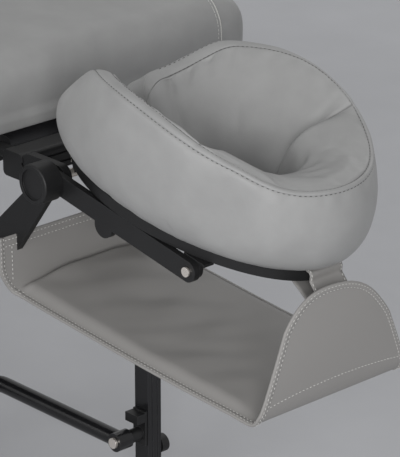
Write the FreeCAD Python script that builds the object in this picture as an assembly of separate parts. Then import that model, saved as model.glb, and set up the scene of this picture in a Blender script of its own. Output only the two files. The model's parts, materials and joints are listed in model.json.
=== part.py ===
"""Folding treatment table: two padded halves on telescopic legs, with a tilting
face rest and a hanging arm sling at the head end.

Millimetres. X runs along the table to the head end, Y across it, Z up from the floor.
Everything is laid out from the fold line at X 0; the last step moves the whole object
so that the middle of its box stands over the origin.
"""
import FreeCAD
import Part
import os
from math import sin, cos, pi, radians, hypot

V = FreeCAD.Vector

# Fits
seat_gap = 0.3          # between two faces that sit on each other
run_gap = 0.05          # radial play of a turning pin

# Table halves
half_length = 930.0
table_width = 650.0
pad_thickness = 88.0
pad_corner = 45.0
pad_crown = 2.0
deck_thickness = 4.0
frame_inset = 8.0       # frame stands back from the pad edge
rail_width = 25.0
rail_height = 31.0
rail_wall = 2.5
mid_rail_width = 22.0
fold_half_gap = 6.0     # fold line to the face of each middle rail
fold_lift = 2.0         # rail underside above the fold axis

# Legs
pivot_z = 605.0         # leg pivot above the floor
pivot_rise = 17.0       # leg pivot above the rail underside
leg_inset = 115.5       # leg pivot back from the pad end
leg_depth = 25.0
leg_breadth = 22.0
leg_wall = 2.0
leg_upper_length = 545.0
leg_overlap = 300.0     # inner leg inside the outer leg
leg_from_rail = 30.0    # outer face of a head leg from the side rail
lane_step = 90.0        # foot legs stand closer in, so that the pairs pass each other
pivot_shaft_r = 7.0
cross_tube_down = 200.0
cross_tube_r = 11.0
cross_tube_wall = 1.5
cross_plate = 4.0
cross_plate_half = 12.0
cross_plate_rise = 16.0
bracket_back = 17.0
bracket_front = 12.0
bracket_plate = 4.0
bracket_boss_r = 11.0
bracket_boss = 14.0
stop_depth = 18.0
stop_wall = 2.0
groove_width = 3.0
groove_depth = 0.8
foot_height = 22.0
foot_rim = 3.0          # rubber beyond the leg's sides
foot_lip = 0.8          # rubber beyond the leg's front and back
foot_sole = 6.0
lock_knob_r = 12.0
lock_knob_length = 15.0
lock_neck_r = 6.0
lock_neck = 4.0
lock_knob_up = 24.0     # lock knob above the end of the outer leg

# Swinging floor brace on each leg pair
brace_pin_down = 495.5  # brace pin below the leg pivot
brace_reach = 257.0
brace_r = 11.0
brace_bend = 28.0
brace_offset = 36.0     # brace tube centre from the leg's inner face
brace_eye_r = 12.5
brace_eye_width = 22.0
brace_pin_r = 4.0
brace_head_r = 7.0
knuckle_plate = 4.0
knuckle_block = 18.0
knuckle_below = 15.0
knuckle_above = 33.0
knuckle_block_low = 19.0
knuckle_block_high = 31.0
knuckle_boss_r = 9.0
knuckle_floor = 6.0

# Fold hinges
hinge_spread = 215.0
hinge_length = 60.0
hinge_knuckle = 20.0
hinge_r = 5.0
hinge_pin_r = 2.5
hinge_leaf = 3.0
hinge_leaf_height = 27.0

# Face rest base
post_r = 8.0
post_spread = 70.0
post_inside = 72.0
socket_wall = 4.0
socket_flange_r = 15.0
socket_flange = 3.0
beam_out = 30.0         # back of the base beam beyond the pad end
beam_depth = 34.0
beam_height = 31.0
beam_half = 95.0
pivot_out = 122.0       # arm pivot beyond the pad end
arm_pivot_rise = 21.0   # arm pivot above the rail underside
cheek_thickness = 10.0
cheek_r = 14.0
bolt_r = 5.0
bolt_head_r = 11.0
bolt_head = 7.0
knob_r = 23.0
knob_length = 25.0
knob_rim = 5.0
knob_dish = 2.5

# Face rest arms
rest_tilt = 11.0        # degrees, head end down
arm_length = 225.0
arm_r = 12.0
arm_thickness = 8.0
arm_inner = 96.5        # inner face of an arm from the centre line
arm_tube_along = 92.0
arm_tube_drop = 12.0
arm_tube_r = 10.0
arm_boss_r = 14.0
tail_back = 78.0
tail_drop = 101.0
tail_r = 15.0
tail_heel = 22.0        # how far the tail widens towards the table
rod_r = 5.0
screw_r = 4.0
screw_head_r = 5.5
screw_head = 2.5

# Face rest ring, measured in its own tilted plane from its front edge
ring_length = 372.0
ring_half = 106.0
ring_bar = 24.0
ring_thickness = 13.0
ring_above_arm = 20.0
ring_behind_pin = 273.0
egg = 0.06              # how much fuller the table end of the outline is
lug_thickness = 6.0
lug_r = 10.0
skirt_length = 58.0
skirt_depth = 7.0
skirt_wall = 8.0
rivet_r = 2.0

# Face cushion, a horseshoe whose rim rises at the cheeks
rim_length = 318.0
rim_half = 121.0
rim_centre = 156.0      # back from the ring's front edge
rim_height = 107.0      # above the middle of the ring at the forehead
rim_rise = 32.0         # more at the cheeks
rim_wave = 380.0        # length over which it rises and falls
rim_wave_start = 5.0    # ahead of the ring's front edge
bulge_length = 420.0
bulge_half = 137.0
bulge_centre = 187.0
base_length = 358.0
base_half = 103.0
base_centre = 182.0
hole_length = 150.0
hole_half = 48.0
hole_centre = 160.0
cushion_trim = 1.0      # cut off flat where the cushion lies on the ring
lobe_gap_base = 8.0
lobe_gap_top = 16.0

# Arm sling
cloth = 3.0
hem_r = 7.0
hem_half = 130.0
sleeve_half = 94.0      # loop of the hem round the rod, between the arms
hem_rise = 20.0         # top edge of the sling above the rod
slit_gap = 1.0          # round each arm tail where it passes the top edge
tray_half = 110.0
tray_back_drop = 49.0   # tray floor below the hem at the table end
tray_fall = 34.0        # tray floor drop from the table end to the head end
tray_sag = 4.0
tray_ahead = 14.0       # tongue belly beyond the ring front
tongue_lean = 24.0      # tongue top beyond the ring front
tongue_top_drop = 3.0   # tongue top below the ring's front edge
strap_half = 24.0
strap_cloth = 1.6
strap_low = 44.0        # sewn patch of the strap on the tongue, below the ring front
strap_high = 26.0
strap_back = 32.0

# Carrying fittings on the side rails
handle_half = 60.0
handle_r = 2.6
handle_drop = 19.0
bracket_length = 12.0
fitting_depth = 7.2
latch_from_end = 90.0
latch_width = 26.0

rail_bottom = pivot_z - pivot_rise
rail_top = rail_bottom + rail_height
fold_z = rail_bottom - fold_lift
deck_top = rail_top + deck_thickness
frame_end = half_length - frame_inset
frame_half = table_width / 2.0 - frame_inset
rail_inner = frame_half - rail_width
head_lane = rail_inner - leg_from_rail - leg_breadth
foot_lane = head_lane - lane_step
leg_x = half_length - leg_inset
pin_z = pivot_z - brace_pin_down
leg_bottom = pivot_z - leg_upper_length
pivot_x = half_length + pivot_out
arm_z = rail_bottom + arm_pivot_rise
tilt = radians(rest_tilt)
along = V(cos(tilt), 0, -sin(tilt))
normal = V(sin(tilt), 0, cos(tilt))
arm_pivot = V(pivot_x, 0, arm_z)
ring_pin = arm_pivot + along * arm_length
ring_ahead_of_pin = ring_length - ring_behind_pin
ring_front = ring_pin + along * ring_ahead_of_pin + normal * ring_above_arm
rod_at = V(pivot_x - tail_back, 0, arm_z - tail_drop)
arm_outer = arm_inner + arm_thickness

parts = {}


def block(x0, x1, y0, y1, z0, z1):
    return Part.makeBox(x1 - x0, y1 - y0, z1 - z0, V(x0, y0, z0))


def rod_along_x(y, z, r, x0, x1):
    return Part.makeCylinder(r, x1 - x0, V(x0, y, z), V(1, 0, 0))


def rod_along_y(x, z, r, y0, y1):
    return Part.makeCylinder(r, y1 - y0, V(x, y0, z), V(0, 1, 0))


def rod_along_z(x, y, r, z0, z1):
    return Part.makeCylinder(r, z1 - z0, V(x, y, z0), V(0, 0, 1))


def other_side(shape):
    return shape.mirror(V(0, 0, 0), V(0, 1, 0))


def other_half(shape):
    return shape.mirror(V(0, 0, 0), V(1, 0, 0))


def pair(shape):
    return Part.makeCompound([shape, other_side(shape)])


def prism_y(points, y0, y1):
    """Solid between two Y planes from an outline of X, Z points."""
    wire = Part.makePolygon([V(x, y0, z) for x, z in points + points[:1]])
    return Part.Face(wire).extrude(V(0, y1 - y0, 0))


def link_y(a, ra, b, rb, y0, y1):
    """Flat link between two Y planes with a round end at each of two points."""
    span = hypot(b.x - a.x, b.z - a.z)
    ux = (b.x - a.x) / span
    uz = (b.z - a.z) / span
    lean = (ra - rb) / span
    rest = (1.0 - lean * lean) ** 0.5
    corners = []
    for side in (1, -1):
        nx = ux * lean - side * uz * rest
        nz = uz * lean + side * ux * rest
        ends = [(a.x + nx * ra, a.z + nz * ra), (b.x + nx * rb, b.z + nz * rb)]
        corners += ends if side == 1 else ends[::-1]
    solid = prism_y(corners, y0, y1)
    solid = solid.fuse(rod_along_y(a.x, a.z, ra, y0, y1))
    return solid.fuse(rod_along_y(b.x, b.z, rb, y0, y1)).removeSplitter()


def rounded_wire(x0, x1, half, r_near, r_far, z):
    """Level outline with rounded corners, tighter at the fold line."""
    def corner(cx, cy, r, start):
        mid = start + pi / 4
        end = start + pi / 2
        p = [V(cx + r * cos(t), cy + r * sin(t), z) for t in (start, mid, end)]
        return p, Part.Arc(*p).toShape()

    spots = [
        (x1 - r_far, -half + r_far, r_far, -pi / 2),
        (x1 - r_far, half - r_far, r_far, 0.0),
        (x0 + r_near, half - r_near, r_near, pi / 2),
        (x0 + r_near, -half + r_near, r_near, pi),
    ]
    arcs = [corner(*s) for s in spots]
    edges = []
    for i, (points, arc) in enumerate(arcs):
        edges.append(arc)
        following = arcs[(i + 1) % 4][0]
        edges.append(Part.makeLine(points[2], following[0]))
    return Part.Wire(edges)


def egg_wire(length, half, front, z):
    """Egg outline in the ring's own plane, fuller at the table end."""
    count = 28
    points = []
    for i in range(count):
        t = 2 * pi * i / count
        x = front - length / 2.0 * (1.0 - cos(t))
        y = half * sin(t) * (1.0 - egg * cos(t))
        points.append(V(x, y, z))
    curve = Part.BSplineCurve()
    curve.interpolate(Points=points, PeriodicFlag=True)
    return Part.Wire([curve.toShape()])


def egg_slab(length, half, front, z0, z1):
    return Part.Face(egg_wire(length, half, front, z0)).extrude(V(0, 0, z1 - z0))


def stack(wires):
    return Part.makeLoft(wires, True, False)


def in_ring_plane(shape):
    """Lay a shape drawn level at the ring's front edge into the tilted ring plane."""
    shape = shape.copy()
    shape.rotate(V(0, 0, 0), V(0, 1, 0), rest_tilt)
    shape.translate(ring_front)
    return shape


def ring_point(x, z):
    return ring_front + along * x + normal * z


# One padded half, drawn for the head end
def make_pad():
    base = deck_top + seat_gap
    levels = [
        (0.0, 9.0), (0.12, 2.5), (0.40, 0.0), (0.66, 2.0), (0.86, 9.0), (0.97, 26.0),
    ]
    wires = []
    for share, inset in levels:
        far = max(12.0, pad_corner - 0.4 * inset)
        wires.append(rounded_wire(
            seat_gap + 0.25 * inset, half_length - inset, table_width / 2.0 - inset,
            8.0, far, base + share * pad_thickness))
    body = stack(wires)
    top = [wires[-1]]
    for inset, rise in ((52.0, 0.0), (0.22 * table_width, pad_crown)):
        top.append(rounded_wire(
            seat_gap + 0.25 * inset, half_length - inset, table_width / 2.0 - inset,
            8.0, 12.0, base + pad_thickness + rise))
    crown = Part.makeLoft(top, True, True)
    return body.fuse(crown)


def tube_along_x(x0, x1, y0, y1):
    outer = block(x0, x1, y0, y1, rail_bottom, rail_top - seat_gap)
    inner = block(x0 - 1, x1 + 1, y0 + rail_wall, y1 - rail_wall,
                  rail_bottom + rail_wall, rail_top - seat_gap - rail_wall)
    mid = (rail_bottom + rail_top) / 2.0
    groove = block(x0 - 1, x1 + 1, y1 - groove_depth, y1 + 1,
                   mid - groove_width / 2.0, mid + groove_width / 2.0)
    return outer.cut(inner).cut(groove)


def make_end_rail(with_posts):
    x0 = frame_end - rail_width
    half = rail_inner - seat_gap
    rail = block(x0, frame_end, -half, half, rail_bottom, rail_top - seat_gap)
    rail = rail.cut(block(x0 + rail_wall, frame_end - rail_wall, -half - 1, half + 1,
                          rail_bottom + rail_wall, rail_top - seat_gap - rail_wall))
    low = rail_bottom + 0.36 * rail_height
    rail = rail.cut(block(frame_end - groove_depth, frame_end + 1, -half - 1, half + 1,
                          low, low + groove_width))
    if with_posts:
        for y in (-post_spread, post_spread):
            rail = rail.cut(rod_along_x(y, post_z, post_r + socket_wall + seat_gap,
                                        x0 - 1, frame_end + 1))
    return rail


post_z = rail_bottom + rail_height / 2.0 - seat_gap

pad = make_pad()
deck = block(1.0, half_length - 5.0, 5.0 - table_width / 2.0, table_width / 2.0 - 5.0,
             rail_top, deck_top)
side_rail = tube_along_x(fold_half_gap + mid_rail_width + seat_gap,
                         frame_end - rail_width - seat_gap, rail_inner, frame_half)
mid_rail = block(fold_half_gap, fold_half_gap + mid_rail_width, -frame_half, frame_half,
                 rail_bottom, rail_top - seat_gap)
mid_rail = mid_rail.cut(block(fold_half_gap + rail_wall, fold_half_gap + mid_rail_width - rail_wall,
                              -frame_half - 1, frame_half + 1, rail_bottom + rail_wall,
                              rail_top - seat_gap - rail_wall))
corner = block(frame_end - rail_width, frame_end, rail_inner, frame_half,
               rail_bottom, rail_top - seat_gap)
corner = corner.makeFillet(6.0, [e for e in corner.Edges
                                 if abs(e.CenterOfMass.x - frame_end) < 0.01
                                 and abs(e.CenterOfMass.y - frame_half) < 0.01])
shaft_half = rail_inner - seat_gap
pivot_shaft = rod_along_y(leg_x, pivot_z, pivot_shaft_r, -shaft_half, shaft_half)
bracket = block(leg_x - bracket_back, leg_x + bracket_front, rail_inner - bracket_plate - seat_gap,
                rail_inner - seat_gap, rail_bottom + 0.75 * bracket_plate, rail_top - bracket_plate)
bracket = bracket.fuse(rod_along_y(leg_x, pivot_z, bracket_boss_r, rail_inner - bracket_boss,
                                   rail_inner - seat_gap - 0.5 * bracket_plate))
bracket = bracket.cut(rod_along_y(leg_x, pivot_z, pivot_shaft_r + seat_gap, 0, rail_inner + 1))
bracket = bracket.removeSplitter()
stop_x = leg_x + leg_depth / 2.0 + seat_gap
stop_rail = block(stop_x, stop_x + stop_depth, -rail_inner + seat_gap, rail_inner - seat_gap,
                  rail_bottom + 0.5 * stop_wall, rail_top - seat_gap)
stop_rail = stop_rail.cut(block(stop_x + stop_wall, stop_x + stop_depth - stop_wall, -rail_inner, rail_inner,
                                rail_bottom + 1.5 * stop_wall, rail_top - seat_gap - stop_wall))

parts["foot_pad"] = other_half(pad)
parts["head_pad"] = pad
parts["foot_deck"] = other_half(deck)
parts["head_deck"] = deck
parts["foot_side_rails"] = other_half(pair(side_rail))
parts["head_side_rails"] = pair(side_rail)
parts["foot_cross_rails"] = other_half(Part.makeCompound([mid_rail, stop_rail, make_end_rail(False)]))
parts["head_cross_rails"] = Part.makeCompound([mid_rail, stop_rail, make_end_rail(True)])
parts["foot_corner_blocks"] = other_half(pair(corner))
parts["head_corner_blocks"] = pair(corner)
parts["foot_pivot_shaft"] = other_half(pivot_shaft)
parts["head_pivot_shaft"] = pivot_shaft
parts["foot_shaft_brackets"] = other_half(pair(bracket))
parts["head_shaft_brackets"] = pair(bracket)

# Fold hinges under the meeting rails
leaf_out = fold_half_gap - seat_gap
knuckle_half = hinge_knuckle / 2.0


def hinge_leaf_at(y, outer_knuckles):
    half = hinge_length / 2.0
    leaf = block(leaf_out - hinge_leaf, leaf_out, y - half, y + half,
                 fold_z + 1.0, fold_z + 1.0 + hinge_leaf_height)
    ends = [(y - half, y - knuckle_half - seat_gap), (y + knuckle_half + seat_gap, y + half)]
    middle = [(y - knuckle_half, y + knuckle_half)]
    own = ends if outer_knuckles else middle
    gone = middle if outer_knuckles else ends
    for y0, y1 in own:
        leaf = leaf.fuse(rod_along_y(0, fold_z, hinge_r, y0, y1))
    for y0, y1 in gone:
        leaf = leaf.cut(rod_along_y(0, fold_z, hinge_r + 0.6, y0 - seat_gap, y1 + seat_gap))
    return leaf.cut(rod_along_y(0, fold_z, hinge_pin_r + run_gap, y - half - 1, y + half + 1)).removeSplitter()


hinge_spots = (-hinge_spread, 0.0, hinge_spread)
parts["head_hinge_leaves"] = Part.makeCompound([hinge_leaf_at(y, True) for y in hinge_spots])
parts["foot_hinge_leaves"] = Part.makeCompound(
    [other_half(hinge_leaf_at(y, False)) for y in hinge_spots])
parts["hinge_pins"] = Part.makeCompound(
    [rod_along_y(0, fold_z, hinge_pin_r, y - hinge_length / 2.0 - 1.5, y + hinge_length / 2.0 + 1.5)
     for y in hinge_spots])


# Leg pairs, drawn at the head end
def make_outer_leg(lane):
    x0 = leg_x - leg_depth / 2.0
    x1 = leg_x + leg_depth / 2.0
    y0 = lane
    y1 = lane + leg_breadth
    leg = block(x0, x1, y0, y1, leg_bottom, pivot_z)
    leg = leg.fuse(rod_along_y(leg_x, pivot_z, leg_depth / 2.0, y0, y1)).removeSplitter()
    leg = leg.cut(block(x0 + leg_wall, x1 - leg_wall, y0 + leg_wall, y1 - leg_wall,
                        leg_bottom - 1, pivot_z - 45.0))
    ym = (y0 + y1) / 2.0
    for shift in (-leg_breadth * 0.2, leg_breadth * 0.2):
        ga = ym + shift - groove_width / 2.0
        gb = ym + shift + groove_width / 2.0
        leg = leg.cut(block(x1 - groove_depth, x1 + 1, ga, gb, leg_bottom - 1, pivot_z - 20.0))
        leg = leg.cut(block(x0 - 1, x0 + groove_depth, ga, gb, leg_bottom - 1, pivot_z - 20.0))
    return leg.cut(rod_along_y(leg_x, pivot_z, pivot_shaft_r + run_gap, y0 - 1, y1 + 1))


def make_inner_leg(lane):
    slack = leg_wall + seat_gap
    return block(leg_x - leg_depth / 2.0 + slack, leg_x + leg_depth / 2.0 - slack,
                 lane + slack, lane + leg_breadth - slack,
                 foot_sole + seat_gap, leg_bottom + leg_overlap)


def make_rubber_foot(lane):
    slack = leg_wall
    x0 = leg_x - leg_depth / 2.0 - foot_lip
    x1 = leg_x + leg_depth / 2.0 + foot_lip
    y0 = lane - foot_rim
    y1 = lane + leg_breadth + foot_rim
    foot = block(x0, x1, y0, y1, 0, foot_height)
    upright = [e for e in foot.Edges if abs(e.Vertexes[0].Z - e.Vertexes[-1].Z) > 1.0]
    foot = foot.makeFillet(5.0, upright)
    rim = [e for e in foot.Edges if abs(e.CenterOfMass.z - foot_height) < 0.01]
    foot = foot.makeChamfer(2.0, rim)
    return foot.cut(block(leg_x - leg_depth / 2.0 + slack, leg_x + leg_depth / 2.0 - slack,
                          lane + slack, lane + leg_breadth - slack, foot_sole, foot_height + 1))


def make_knuckle(lane):
    face = lane - seat_gap
    half = leg_depth / 2.0 - 1.0
    body = block(leg_x - half, leg_x + half, face - knuckle_plate, face,
                 pin_z - knuckle_below, pin_z + knuckle_above)
    body = body.fuse(block(leg_x - half, leg_x + half, lane - knuckle_block, face,
                           pin_z + knuckle_block_low, pin_z + knuckle_block_high))
    boss_end = lane - brace_offset + brace_eye_width / 2.0 + seat_gap
    body = body.fuse(rod_along_y(leg_x, pin_z, knuckle_boss_r, boss_end, face))
    bore = rod_along_y(leg_x, pin_z, brace_pin_r + seat_gap, boss_end - 1, face - knuckle_floor)
    return body.cut(bore).removeSplitter()


def make_brace_pin(lane):
    eye_end = lane - brace_offset - brace_eye_width / 2.0
    pin = rod_along_y(leg_x, pin_z, brace_pin_r, eye_end - seat_gap - 1, lane - knuckle_floor - 1.0)
    head = rod_along_y(leg_x, pin_z, brace_head_r, eye_end - seat_gap - 3.5, eye_end - seat_gap)
    return pin.fuse(head).removeSplitter()


def make_brace(lane):
    y = lane - brace_offset
    bend_x = leg_x - brace_reach + brace_bend
    arm = rod_along_x(y, pin_z, brace_r, bend_x, leg_x)
    eye = rod_along_y(leg_x, pin_z, brace_eye_r, y - brace_eye_width / 2.0, y + brace_eye_width / 2.0)
    half = arm.fuse(eye).cut(rod_along_y(leg_x, pin_z, brace_pin_r + run_gap, y - 40, y + 40))
    elbow = Part.makeTorus(brace_bend, brace_r, V(bend_x, y - brace_bend, pin_z), V(0, 0, 1))
    elbow = elbow.common(block(bend_x - 100, bend_x, y - brace_bend, y + 100, pin_z - 50, pin_z + 50))
    bar = rod_along_y(leg_x - brace_reach, pin_z, brace_r, -(y - brace_bend), y - brace_bend)
    brace = bar
    for piece in (elbow, half, other_side(elbow), other_side(half)):
        brace = brace.fuse(piece)
    return brace.removeSplitter()


def make_cross_tube(lane):
    z = pivot_z - cross_tube_down
    end = lane - seat_gap
    tube = rod_along_y(leg_x, z, cross_tube_r, -end, end)
    for side in (-1, 1):
        a, b = sorted((side * end, side * (end - cross_plate)))
        tube = tube.fuse(block(leg_x - cross_plate_half, leg_x + cross_plate_half, a, b,
                               z - cross_plate_rise, z + cross_plate_rise))
    return tube.cut(rod_along_y(leg_x, z, cross_tube_r - cross_tube_wall, -end - 1, end + 1)).removeSplitter()


def make_lock_knob(lane):
    y = lane + leg_breadth + seat_gap
    z = leg_bottom + lock_knob_up
    knob = rod_along_y(leg_x, z, lock_knob_r, y + lock_neck, y + lock_knob_length)
    neck = rod_along_y(leg_x, z, lock_neck_r, y, y + 1.25 * lock_neck)
    return knob.fuse(neck).removeSplitter()


for name, lane in (("head", head_lane), ("foot", foot_lane)):
    place = (lambda s: s) if name == "head" else other_half
    parts[name + "_legs_outer"] = place(pair(make_outer_leg(lane)))
    parts[name + "_leg_cross_tube"] = place(make_cross_tube(lane))
    parts[name + "_leg_knuckles"] = place(pair(make_knuckle(lane)))
    parts[name + "_brace_pins"] = place(pair(make_brace_pin(lane)))
    parts[name + "_brace"] = place(make_brace(lane))
    parts[name + "_lock_knobs"] = place(pair(make_lock_knob(lane)))
    parts[name + "_inner_leg_left"] = place(make_inner_leg(lane))
    parts[name + "_inner_leg_right"] = place(other_side(make_inner_leg(lane)))
    parts[name + "_rubber_foot_left"] = place(make_rubber_foot(lane))
    parts[name + "_rubber_foot_right"] = place(other_side(make_rubber_foot(lane)))

# Sockets, posts and base of the face rest
socket_r = post_r + socket_wall
post_end = frame_end - post_inside


def make_socket(y):
    sleeve = rod_along_x(y, post_z, socket_r, post_end + 2.0, frame_end + seat_gap + socket_flange)
    flange = rod_along_x(y, post_z, socket_flange_r, frame_end + seat_gap,
                         frame_end + seat_gap + socket_flange)
    return sleeve.fuse(flange).cut(rod_along_x(y, post_z, post_r + run_gap, post_end - 5, frame_end + 20)).removeSplitter()


beam_x0 = half_length + beam_out
beam_x1 = beam_x0 + beam_depth
beam_z0 = rail_bottom
beam_z1 = beam_z0 + beam_height
beam = block(beam_x0, beam_x1, -beam_half, beam_half, beam_z0, beam_z1)
beam = beam.makeFillet(6.0, [e for e in beam.Edges if abs(e.CenterOfMass.y) < 0.01])
for y in (-post_spread, post_spread):
    beam = beam.cut(rod_along_x(y, post_z, post_r + seat_gap, beam_x0 - 1, beam_x0 + 18))
for z in (beam_z0 + 0.33 * beam_height, beam_z0 + 0.66 * beam_height):
    beam = beam.cut(block(beam_x1 - 2.0, beam_x1 + 1, -beam_half - 1, beam_half + 1, z - 1.5, z + 1.5))
cheek_y1 = beam_half - 1.0
cheek_y0 = cheek_y1 - cheek_thickness
cheek = link_y(V(beam_x1 + 12.0, 0, arm_z), cheek_r, arm_pivot, cheek_r, cheek_y0, cheek_y1)
cheek = cheek.cut(block(beam_x0 - 50, beam_x1 + seat_gap, 0, 200, 0, 2000))
cheek = cheek.cut(rod_along_y(arm_pivot.x, arm_pivot.z, bolt_r + seat_gap, 0, 200))
bolt = rod_along_y(arm_pivot.x, arm_pivot.z, bolt_r, -arm_outer - knob_length + 8.0, arm_outer + 2.0)
bolt = bolt.fuse(rod_along_y(arm_pivot.x, arm_pivot.z, bolt_head_r,
                             arm_outer + seat_gap, arm_outer + seat_gap + bolt_head)).removeSplitter()
knob_y1 = -arm_outer - seat_gap
knob_y0 = knob_y1 - knob_length
knob = rod_along_y(arm_pivot.x, arm_pivot.z, knob_r, knob_y0, knob_y1)
knob = knob.makeFillet(2.0, [e for e in knob.Edges if abs(e.CenterOfMass.y - knob_y0) < 0.01])
knob = knob.cut(rod_along_y(arm_pivot.x, arm_pivot.z, knob_r - knob_rim, knob_y0 - 1, knob_y0 + knob_dish))
knob = knob.cut(rod_along_y(arm_pivot.x, arm_pivot.z, bolt_r + run_gap, knob_y0 + 7.0, knob_y1 + 1))

parts["rest_sockets"] = Part.makeCompound([make_socket(-post_spread), make_socket(post_spread)])
parts["rest_posts"] = Part.makeCompound(
    [rod_along_x(y, post_z, post_r, post_end, beam_x0 + 17.5) for y in (-post_spread, post_spread)])
parts["rest_base"] = Part.makeCompound([beam, cheek, other_side(cheek)])
parts["rest_pivot_bolt"] = bolt
parts["rest_knob"] = knob

# Arms with the tails that carry the sling
tube_at = arm_pivot + along * arm_tube_along - normal * arm_tube_drop
arm = link_y(arm_pivot, arm_r, ring_pin, arm_r, arm_inner, arm_outer)
heel_at = rod_at - V(tail_heel, 0, 0)
arm = arm.fuse(link_y(arm_pivot, arm_r, rod_at, tail_r, arm_inner, arm_outer))
arm = arm.fuse(link_y(arm_pivot, arm_r, heel_at, tail_r, arm_inner, arm_outer))
arm = arm.fuse(link_y(heel_at, tail_r, rod_at, tail_r, arm_inner, arm_outer))
arm = arm.fuse(prism_y([(p.x, p.z) for p in (arm_pivot, rod_at, heel_at)], arm_inner, arm_outer))
arm = arm.fuse(rod_along_y(tube_at.x, tube_at.z, arm_boss_r, arm_inner, arm_outer)).removeSplitter()
arm = arm.cut(rod_along_y(arm_pivot.x, arm_pivot.z, bolt_r + run_gap, 0, 200))
arm = arm.cut(rod_along_y(ring_pin.x, ring_pin.z, screw_r + seat_gap, 0, 200))
tube_half = arm_inner - seat_gap
screw_end = arm_inner - seat_gap - lug_thickness - 2.0
screw = rod_along_y(ring_pin.x, ring_pin.z, screw_r, screw_end, arm_outer + 1.0)
screw = screw.fuse(rod_along_y(ring_pin.x, ring_pin.z, screw_head_r,
                               arm_outer + seat_gap, arm_outer + seat_gap + screw_head)).removeSplitter()
parts["arm_left"] = arm
parts["arm_right"] = other_side(arm)
parts["arm_rods"] = Part.makeCompound([
    rod_along_y(tube_at.x, tube_at.z, arm_tube_r, -tube_half, tube_half),
    rod_along_y(rod_at.x, rod_at.z, rod_r, -tube_half, tube_half)])
parts["ring_screws"] = pair(screw)

# Ring, lugs, skirt, cushion, drawn level and then tilted
half_t = ring_thickness / 2.0
ring = egg_slab(ring_length, ring_half, 0.0, -half_t, half_t)
ring = ring.cut(egg_slab(ring_length - 2 * ring_bar, ring_half - ring_bar, -ring_bar, -half_t - 1, half_t + 1))
ring = ring.cut(block(-strap_back - 6, 5, -strap_half - 1, strap_half + 1, half_t - strap_cloth - 1, half_t + 1))
lug_x = -ring_ahead_of_pin
lug_y1 = arm_inner - seat_gap
lug_y0 = lug_y1 - lug_thickness
lug = link_y(V(lug_x, 0, -half_t - seat_gap - lug_r), lug_r, V(lug_x, 0, -ring_above_arm), lug_r, lug_y0, lug_y1)
lug = lug.fuse(block(lug_x - lug_r, lug_x + lug_r, lug_y0, lug_y1, -ring_above_arm, -half_t - seat_gap))
lug = lug.fuse(block(lug_x - 16, lug_x + 16, lug_y0 - 8, lug_y1, -half_t - seat_gap - 3, -half_t - seat_gap))
lug = lug.cut(rod_along_y(lug_x, -ring_above_arm, screw_r + run_gap, 0, 200)).removeSplitter()
skirt_top = -half_t - seat_gap
skirt = egg_slab(ring_length - 4, ring_half - 2, -2.0, skirt_top - skirt_depth, skirt_top)
skirt = skirt.cut(egg_slab(ring_length - 4 - 2 * skirt_wall, ring_half - 2 - skirt_wall, -2.0 - skirt_wall,
                           skirt_top - skirt_depth - 1, skirt_top + 1))
skirt = skirt.common(block(-ring_length - 5, skirt_length - ring_length, -200, 200, -100, 100))


def skirt_rivet(share):
    t = pi - radians(share)
    length = ring_length - 4
    x = -2.0 - length / 2.0 * (1.0 - cos(t))
    y = (ring_half - 2) * sin(t) * (1.0 - egg * cos(t))
    out = V(cos(t) * (ring_half - 2), sin(t) * length / 2.0, 0)
    out.normalize()
    z = skirt_top - skirt_depth / 2.0
    return Part.makeCylinder(rivet_r, 1.2, V(x, y, z) + out * seat_gap, out)


rivets = Part.makeCompound([skirt_rivet(33.0), skirt_rivet(37.0)])

cushion_base = half_t + seat_gap
loop_base = cushion_base - cushion_trim


def rim_at(back):
    wave = sin(pi * (back + rim_wave_start) / rim_wave)
    return rim_height + rim_rise * wave * wave


def cushion_loop(length, half, centre, share):
    """Closed loop round the cushion at a share of the local rim height."""
    count = 28
    points = []
    for i in range(count):
        t = 2 * pi * i / count
        back = centre - length / 2.0 * cos(t)
        rise = loop_base + share * (rim_at(back) - loop_base)
        points.append(V(-back, half * sin(t), rise))
    curve = Part.BSplineCurve()
    curve.interpolate(Points=points, PeriodicFlag=True)
    return Part.Wire([curve.toShape()])


def between(low, high, share):
    return low + (high - low) * share


def hole_loop(blend, share):
    return cushion_loop(between(hole_length, rim_length, blend), between(hole_half, rim_half, blend),
                        between(hole_centre, rim_centre, blend), share)


def side_loop(blend, share):
    return cushion_loop(between(base_length, bulge_length, blend), between(base_half, bulge_half, blend),
                        between(base_centre, bulge_centre, blend), share)


hole_edge = hole_loop(0.0, 0.0)
base_edge = side_loop(0.0, 0.0)
loops = [
    hole_edge,
    hole_loop(0.05, 0.22),
    hole_loop(0.34, 0.58),
    hole_loop(0.78, 0.92),
    cushion_loop(rim_length, rim_half, rim_centre, 1.0),
    cushion_loop(between(rim_length, bulge_length, 0.5), between(rim_half, bulge_half, 0.62),
                 between(rim_centre, bulge_centre, 0.5), 0.84),
    side_loop(1.0, 0.48),
    side_loop(0.72, 0.17),
    base_edge,
]
skin = Part.makeLoft(loops, False, False)
sole = Part.Face([base_edge, hole_edge])
shell = Part.makeShell(skin.Faces + sole.Faces)
shell.sewShape()
cushion = Part.makeSolid(shell)
if cushion.Volume < 0:
    cushion.reverse()
gap_top = rim_height + rim_rise + 10.0
gap_outline = [(-lobe_gap_base, cushion_base - 2), (lobe_gap_base, cushion_base - 2),
               (lobe_gap_top, gap_top), (-lobe_gap_top, gap_top)]
gap_wire = Part.makePolygon([V(-hole_centre - 0.3 * hole_length, y, z) for y, z in gap_outline + gap_outline[:1]])
lobe_gap = Part.Face(gap_wire).extrude(V(-bulge_length, 0, 0))
cushion = cushion.cut(lobe_gap)
cushion = cushion.cut(block(-2 * bulge_length, bulge_length, -2 * bulge_half, 2 * bulge_half,
                            loop_base - 10 * cushion_trim, cushion_base))

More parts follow.
